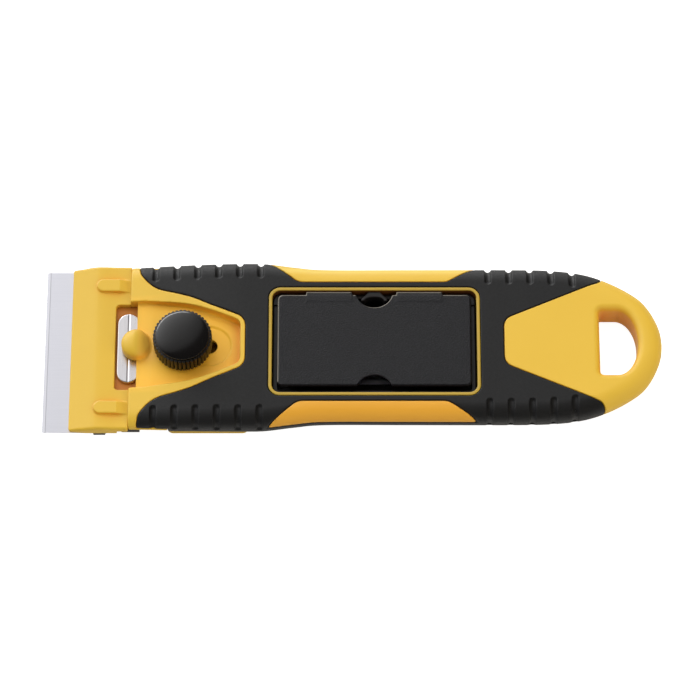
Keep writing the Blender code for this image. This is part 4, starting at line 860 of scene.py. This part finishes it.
class Look:
    """A procedural finish: noise that varies the colour and the gloss, and a fine relief."""

    def __init__(self, name, metallic=0.0, **inputs):
        self.material = bpy.data.materials.new(name)
        self.material.use_nodes = True
        self.tree = self.material.node_tree
        self.shader = self.tree.nodes["Principled BSDF"]
        self.shader.inputs["Metallic"].default_value = metallic
        for label, value in inputs.items():
            self.shader.inputs[label.replace("_", " ")].default_value = value
        self.place = self.node("ShaderNodeTexCoord").outputs["Object"]

    def node(self, kind, **settings):
        """A new node with its settings."""
        node = self.tree.nodes.new(kind)
        for label, value in settings.items():
            setattr(node, label, value)
        return node

    def link(self, source, target):
        """A link between two sockets."""
        self.tree.links.new(source, target)

    def scaled(self, x, y, z):
        """Object coordinates stretched along the axes."""
        mapping = self.node("ShaderNodeMapping")
        mapping.inputs["Scale"].default_value = (x, y, z)
        self.link(self.place, mapping.inputs["Vector"])
        return mapping.outputs["Vector"]

    def noise(self, scale, detail=2.0, place=None):
        """Cells per metre of soft noise."""
        noise = self.node("ShaderNodeTexNoise")
        noise.inputs["Scale"].default_value = scale
        noise.inputs["Detail"].default_value = detail
        self.link(place or self.place, noise.inputs["Vector"])
        return noise.outputs["Fac"]

    def openness(self, distance, start=0.40, end=0.98):
        """How open a place is, from 0 in a corner to 1 on a plain face."""
        sky = self.node("ShaderNodeAmbientOcclusion", samples=8, only_local=True)
        sky.inputs["Distance"].default_value = distance
        return self.spread(sky.outputs["AO"], 0.0, 1.0, start, end)

    def facing(self, direction, start, end):
        """One where the surface faces a direction of the object, and zero where it faces away."""
        toward = self.node("ShaderNodeVectorMath", operation="DOT_PRODUCT")
        toward.inputs[1].default_value = direction
        self.link(self.node("ShaderNodeTexCoord").outputs["Normal"], toward.inputs[0])
        return self.spread(toward.outputs["Value"], 0.0, 1.0, start, end)

    def inside(self, centre, reach, edge):
        """One inside a box given in metres and zero outside it, fading from a share of its reach."""
        away = self.node("ShaderNodeVectorMath", operation="SUBTRACT")
        away.inputs[1].default_value = centre
        self.link(self.place, away.inputs[0])
        side = self.node("ShaderNodeVectorMath", operation="ABSOLUTE")
        self.link(away.outputs["Vector"], side.inputs[0])
        share = self.node("ShaderNodeVectorMath", operation="DIVIDE")
        share.inputs[1].default_value = reach
        self.link(side.outputs["Vector"], share.inputs[0])
        split = self.node("ShaderNodeSeparateXYZ")
        self.link(share.outputs["Vector"], split.inputs["Vector"])
        most = split.outputs["X"]
        for axis in ("Y", "Z"):
            larger = self.node("ShaderNodeMath", operation="MAXIMUM")
            self.link(most, larger.inputs[0])
            self.link(split.outputs[axis], larger.inputs[1])
            most = larger.outputs["Value"]
        return self.spread(most, 1.0, 0.0, edge, 1.0)

    def spread(self, value, low, high, start=0.3, end=0.7):
        """A value mapped to a range."""
        spread = self.node("ShaderNodeMapRange")
        for label, number in (("From Min", start), ("From Max", end), ("To Min", low), ("To Max", high)):
            spread.inputs[label].default_value = number
        self.link(value, spread.inputs["Value"])
        return spread.outputs["Result"]

    def mix(self, factor, first, second):
        """A colour between two."""
        mix = self.node("ShaderNodeMix", data_type="RGBA")
        for socket, colour in ((mix.inputs[6], first), (mix.inputs[7], second)):
            if isinstance(colour, tuple):
                socket.default_value = colour
            else:
                self.link(colour, socket)
        self.link(factor, mix.inputs[0])
        return mix.outputs[2]

    def colour(self, value):
        """What drives the base colour."""
        self.link(value, self.shader.inputs["Base Color"])

    def roughness(self, value, low, high):
        """What drives the roughness, spread between two values."""
        self.link(self.spread(value, low, high), self.shader.inputs["Roughness"])

    def relief(self, value, distance):
        """A bump of a height in metres."""
        bump = self.node("ShaderNodeBump")
        bump.inputs["Strength"].default_value = 1.0
        bump.inputs["Distance"].default_value = distance
        self.link(value, bump.inputs["Height"])
        self.link(bump.outputs["Normal"], self.shader.inputs["Normal"])


def yellow_look(name="yellow_plastic", painted_boxes=()):
    """Satin yellow with a painted orange shade in its corners, and a painted light or shade in each box."""
    look = Look(name, Specular_IOR_Level=0.4)
    cloud = look.mix(look.noise(scale=60, detail=3), linear(225, 184, 60), linear(229, 189, 66))
    # Painted shade: orange where the piece's own form hems the surface in
    colour = look.mix(look.openness(distance=0.014), linear(238, 148, 30), cloud)
    # Painted light or shade, each in its box
    for shade, *box in painted_boxes:
        colour = look.mix(look.inside(*box), colour, shade)
    look.colour(colour)
    look.roughness(look.noise(scale=900), low=0.40, high=0.50)
    look.relief(look.noise(scale=2600, detail=3), distance=0.00002)
    return look.material


def rubber_look():
    """Matt black rubber."""
    look = Look("black_rubber", Specular_IOR_Level=0.4)
    look.colour(look.mix(look.noise(scale=120, detail=3), linear(19, 19, 20), linear(24, 24, 25)))
    look.roughness(look.noise(scale=1500), low=0.50, high=0.62)
    look.relief(look.noise(scale=3500, detail=3), distance=0.00004)
    return look.material


def grained_look():
    """Black plastic with a fine grain, and a painted highlight where it faces up and to the far left."""
    look = Look("grained_plastic", Specular_IOR_Level=0.4)
    grain = look.noise(scale=2300)
    cloud = look.mix(look.spread(grain, 0, 1, start=0.38, end=0.62), linear(9, 9, 12), linear(22, 22, 27))
    # Painted highlight on the faces turned up and to the far left
    painted_highlight = look.facing((-0.6, 0.75, 0.28), start=0.40, end=0.64)
    look.colour(look.mix(painted_highlight, cloud, linear(128, 122, 112)))
    look.roughness(look.noise(scale=2000), low=0.36, high=0.46)
    look.relief(grain, distance=0.00018)
    return look.material


def black_look(name="black_plastic", low=0.35, high=0.45, shade=16):
    """Black plastic of a gloss between two values of roughness."""
    look = Look(name, Specular_IOR_Level=0.5)
    dark = linear(shade, shade - 2, shade - 2)
    light = linear(shade + 6, shade + 4, shade + 4)
    look.colour(look.mix(look.noise(scale=200, detail=3), dark, light))
    look.roughness(look.noise(scale=1200), low, high)
    look.relief(look.noise(scale=2600), distance=0.000015)
    return look.material


def steel_look(name, dark, light, low, high, stretch, painted_boxes=()):
    """Metal with brush lines along one way, and a painted shade in each box."""
    look = Look(name, metallic=1.0)
    lines = look.noise(scale=1.0, detail=4, place=look.scaled(*stretch))
    colour = look.mix(lines, linear(*dark), linear(*light))
    # Painted shade, each in its box
    for shade, *box in painted_boxes:
        colour = look.mix(look.inside(*box), colour, shade)
    look.colour(colour)
    look.roughness(lines, low, high)
    look.relief(lines, distance=0.000006)
    return look.material


def dress(node, material):
    """Give a CAD node a finish."""
    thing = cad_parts[node]
    if not thing.data.materials:
        thing.data.materials.append(material)
    for index in range(len(thing.material_slots)):
        thing.material_slots[index].material = material


def hang(piece, node, body, material):
    """Hang a modelled piece on its body in the place of a CAD node."""
    piece.data.materials.append(material)
    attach(piece, body)
    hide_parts(node)


def painted_light_box(colour, middle, reach, edge=0.985):
    """A painted light or shade for a look, with the middle and the reach of its box in millimetres."""
    return linear(*colour), tuple(value * MM for value in middle), tuple(value * MM for value in reach), edge


# The core's painted light and shade, each box laid over those before it
# Painted bounce light over the deck, brighter and more orange
DECK_PAINTED_LIGHT = painted_light_box((253, 197, 64), (KNOB_X + 0.6, 0, 0), (19.2, 18.5, 11.0), edge=0.77)
# Painted light on the nub's rear slope, which the knob shadows
NUB_PAINTED_LIGHT = painted_light_box((255, 196, 78), (DECK_FRONT_X + 6.5, 0, 0), (6.5, 6.2, 15.0), edge=0.60)
# Painted highlight along the far waist's top edge
FAR_WAIST_PAINTED_HIGHLIGHT = painted_light_box((240, 214, 104), (STORE_X, 29.0, 0), (45.0, 4.0, 20.0), edge=0.20)
# Painted shade on the near waist
NEAR_WAIST_PAINTED_SHADE = painted_light_box((232, 168, 54), (STORE_X, -27.5, 0), (42.0, 5.5, 20.0), edge=0.90)
# Painted shade on the rim round the pocket
RIM_REACH = (STORE_HALF_LENGTH + 2.0, STORE_HALF_WIDTH + 2.0, 20.0)
RIM_PAINTED_SHADE = painted_light_box((184, 154, 58), (STORE_X, 0, 0), RIM_REACH)
# Painted shadow on the pocket's walls, under the lid
STORE_REACH = (STORE_HALF_LENGTH + FIT, STORE_HALF_WIDTH + FIT, 12.2)
STORE_PAINTED_SHADOW = painted_light_box((96, 56, 24), (STORE_X, 0, 0), STORE_REACH)
CORE_PAINTED_LIGHT = (DECK_PAINTED_LIGHT, NUB_PAINTED_LIGHT, FAR_WAIST_PAINTED_HIGHLIGHT, NEAR_WAIST_PAINTED_SHADE, RIM_PAINTED_SHADE, STORE_PAINTED_SHADOW)

# Painted shade on the slider plate, all over, and on the blade's ground edge
SLIDER_PAINTED_SHADE = painted_light_box((198, 126, 44), (0, 0, 0), (200.0, 200.0, 200.0))
EDGE_PAINTED_SHADE = painted_light_box((190, 190, 196), (EDGE_X, 0, 0), (1.30, 40.0, 20.0), edge=0.90)

YELLOW = yellow_look()
# Painted light and shade on the core, and painted shade all over the slider plate
CORE_YELLOW_PAINTED_LIGHT = yellow_look("core_yellow_painted_light", CORE_PAINTED_LIGHT)
SLIDER_YELLOW_PAINTED_SHADE = yellow_look("slider_yellow_painted_shade", (SLIDER_PAINTED_SHADE,))
RUBBER = rubber_look()
GRAINED = grained_look()
BLACK = black_look()
GLOSS = black_look("gloss_plastic", low=0.10, high=0.16, shade=10)
BLADE = steel_look("blade_steel", dark=(228, 228, 236), light=(238, 238, 245), low=0.30, high=0.40,
                   stretch=(60, 4000, 60), painted_boxes=(EDGE_PAINTED_SHADE,))
KEY = steel_look("key_steel", dark=(226, 223, 225), light=(240, 237, 240), low=0.25, high=0.35,
                 stretch=(3000, 60, 60))
STEEL = steel_look("zinc_steel", dark=(170, 170, 174), light=(196, 196, 200), low=0.30, high=0.42,
                   stretch=(800, 800, 800))

# Each moulded piece is drawn in a box a little larger than itself
HALF = HANDLE_HALF_WIDTH + 0.5
core = surface("core_moulding", core_rules, low=(NOSE_X - 3.6, -HALF, -0.5), high=(TAIL_X + 0.5, HALF, 12.8),
               step=0.42)
hang(core, "handle_core", "handle", CORE_YELLOW_PAINTED_LIGHT)
grip = surface("grip_skin", grip_rules, low=(NOSE_X - 0.5, -HALF, -0.5), high=(TAIL_X, HALF, 12.8), step=0.42)
hang(grip, "grip_overmould", "handle", RUBBER)
head = surface("head_shell", head_rules, low=(HEAD_FRONT_X - 0.5, -31.0, 3.0),
               high=(ARM_END_X + 0.5, 31.0, 9.2), step=0.3)
hang(head, "head_cover", "handle", YELLOW)
tray = surface("tray_box", tray_rules, low=(STORE_X - 35.0, -19.2, 1.4), high=(STORE_X + 35.0, 19.2, 12.0),
               step=0.45)
hang(tray, "spare_tray", "handle", BLACK)
lid = surface("lid_panel", lid_rules, low=(STORE_X - 33.5, -18.0, 9.2), high=(STORE_X + 33.5, 18.8, 12.5),
              step=0.3)
hang(lid, "tray_lid", "lid", GRAINED)
key = surface("key_boss", key_rules, low=(KEY_X - 4.3, -13.3, 0.9), high=(KEY_X + 4.3, 13.3, 6.9), step=0.22)
hang(key, "blade_key", "blade_carriage", KEY)
hang(make_knob(), "knob", "clamp_knob", BLACK)
hang(make_cap(), "knob_cap", "clamp_knob", GLOSS)

dress("slider_plate", SLIDER_YELLOW_PAINTED_SHADE)
dress("base_cover", YELLOW)
dress("blade_bed", BLACK)
for node in ("blade", "spare_blade_1", "spare_blade_2", "spare_blade_3"):
    dress(node, BLADE)
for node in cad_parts:
    if "screw" in node or "rivet" in node or node in ("clamp_nut", "knob_washer", "knob_stud"):
        dress(node, STEEL)


# The table, in metres, and how strongly it shows itself
FLOOR_REACH = 3.0
FLOOR_DROP = 0.0003
SEEN_STRENGTH = 0.9
MIRRORED_STRENGTH = 0.3


def make_floor():
    """A wide white table that takes the tool's shadow and shows as white."""
    mesh = bpy.data.meshes.new("floor")
    corners = [(-1, -1), (1, -1), (1, 1), (-1, 1)]
    mesh.from_pydata([(x * FLOOR_REACH, y * FLOOR_REACH, 0) for x, y in corners], [], [(0, 1, 2, 3)])
    floor = bpy.data.objects.new("floor", mesh)
    bpy.context.scene.collection.objects.link(floor)
    floor.location.z = -FLOOR_DROP
    look = Look("table", Roughness=0.9, Specular_IOR_Level=0.1)
    look.colour(look.mix(look.noise(scale=3), (0.62, 0.62, 0.62, 1.0), (0.64, 0.64, 0.64, 1.0)))
    look.shader.inputs["Emission Color"].default_value = (1.0, 1.0, 1.0, 1.0)
    path = look.node("ShaderNodeLightPath")
    seen = look.spread(path.outputs["Is Camera Ray"], 0.0, SEEN_STRENGTH, 0.0, 1.0)
    for kind in ("Is Glossy Ray", "Is Transmission Ray"):
        mirrored = look.spread(path.outputs[kind], 0.0, MIRRORED_STRENGTH, 0.0, 1.0)
        either = look.node("ShaderNodeMath", operation="ADD")
        look.link(seen, either.inputs[0])
        look.link(mirrored, either.inputs[1])
        seen = either.outputs["Value"]
    look.link(seen, look.shader.inputs["Emission Strength"])
    floor.data.materials.append(look.material)


# The sky: its strength by how near a direction is to its bright side, from 0 opposite it to 1 there
SKY_BRIGHT_SIDE = (-0.60, 0.72, 0.35)
SKY_CURVE = [(0.0, 0.02), (0.62, 0.03), (0.70, 0.04), (0.74, 0.15), (0.81, 0.24), (0.90, 0.52), (1.0, 0.95)]
SKY_STRENGTH = 2.6


def make_world():
    """A studio sky: bright on the far left, dim on the near side."""
    world = bpy.data.worlds.new("studio")
    world.use_nodes = True
    tree = world.node_tree
    light = tree.nodes["Background"]
    light.inputs["Color"].default_value = (1.0, 1.0, 1.0, 1.0)
    direction = tree.nodes.new("ShaderNodeTexCoord")
    toward = tree.nodes.new("ShaderNodeVectorMath")
    toward.operation = "DOT_PRODUCT"
    toward.inputs[1].default_value = SKY_BRIGHT_SIDE
    ramp = tree.nodes.new("ShaderNodeFloatCurve")
    curve = ramp.mapping.curves[0]
    curve.points[0].location, curve.points[1].location = SKY_CURVE[0], SKY_CURVE[-1]
    for nearness, strength in SKY_CURVE[1:-1]:
        curve.points.new(nearness, strength)
    for point in curve.points:
        point.handle_type = "VECTOR"
    ramp.mapping.update()
    half = tree.nodes.new("ShaderNodeMath")
    half.operation = "MULTIPLY_ADD"
    half.inputs[1].default_value = 0.5
    half.inputs[2].default_value = 0.5
    power = tree.nodes.new("ShaderNodeMath")
    power.operation = "MULTIPLY"
    power.inputs[1].default_value = SKY_STRENGTH
    tree.links.new(direction.outputs["Generated"], toward.inputs[0])
    tree.links.new(toward.outputs["Value"], half.inputs[0])
    tree.links.new(half.outputs["Value"], ramp.inputs["Value"])
    tree.links.new(ramp.outputs["Value"], power.inputs[0])
    tree.links.new(power.outputs["Value"], light.inputs["Strength"])
    bpy.context.scene.world = world


def area_light(name, place, size, power, colour=(1.0, 1.0, 1.0), mirrored=False):
    """A soft box aimed at the tool. A mirrored one shows in glossy finishes alone, the others not at all."""
    lamp = bpy.data.lights.new(name, "AREA")
    lamp.shape = "RECTANGLE"
    lamp.size, lamp.size_y = size
    lamp.energy = power
    lamp.color = colour
    thing = bpy.data.objects.new(name, lamp)
    thing.location = place
    thing.rotation_euler = (-Vector(place)).to_track_quat("-Z", "Y").to_euler()
    thing.visible_glossy = mirrored
    thing.visible_diffuse = not mirrored
    bpy.context.scene.collection.objects.link(thing)


# The camera, in metres and degrees, with its lens in millimetres
CAMERA_AIM = (-0.00095, 0.0, 0.0049)
CAMERA_DISTANCE = 1.222
CAMERA_ELEVATION = 65
CAMERA_LENS = 184.6
CAMERA_SENSOR = 36.0
CAMERA_CLIP = 20.0


def make_camera():
    """The photograph's view, from above the near side."""
    lens = bpy.data.cameras.new("camera")
    lens.lens = CAMERA_LENS
    lens.sensor_width = CAMERA_SENSOR
    lens.clip_end = CAMERA_CLIP
    camera = bpy.data.objects.new("camera", lens)
    height = math.radians(CAMERA_ELEVATION)
    camera.location = Vector(CAMERA_AIM) + CAMERA_DISTANCE * Vector((0, -math.cos(height), math.sin(height)))
    camera.rotation_euler = (math.pi / 2 - height, 0, 0)
    bpy.context.scene.collection.objects.link(camera)
    bpy.context.scene.camera = camera


make_floor()
make_world()
area_light("key_box", place=(-0.2, 0.45, 1.3), size=(1.6, 1.2), power=6.3, colour=(0.98, 1.0, 1.0))
area_light("right_box", place=(0.85, 0.1, 1.0), size=(0.8, 0.8), power=3.4, colour=(1.0, 0.84, 0.58))
area_light("near_fill", place=(0.2, -1.0, 0.55), size=(0.9, 0.9), power=3.0, colour=(0.96, 0.98, 0.90))
area_light("right_fill", place=(1.1, -0.6, 0.60), size=(0.9, 0.9), power=6.0, colour=(1.0, 0.88, 0.68))
area_light("left_fill", place=(-1.3, 0.15, 0.45), size=(0.7, 0.7), power=1.0)
area_light("far_strip", place=(-0.7, 1.4, 0.35), size=(1.8, 0.25), power=12.0, mirrored=True)
make_camera()
bpy.context.scene.view_settings.view_transform = "Standard"
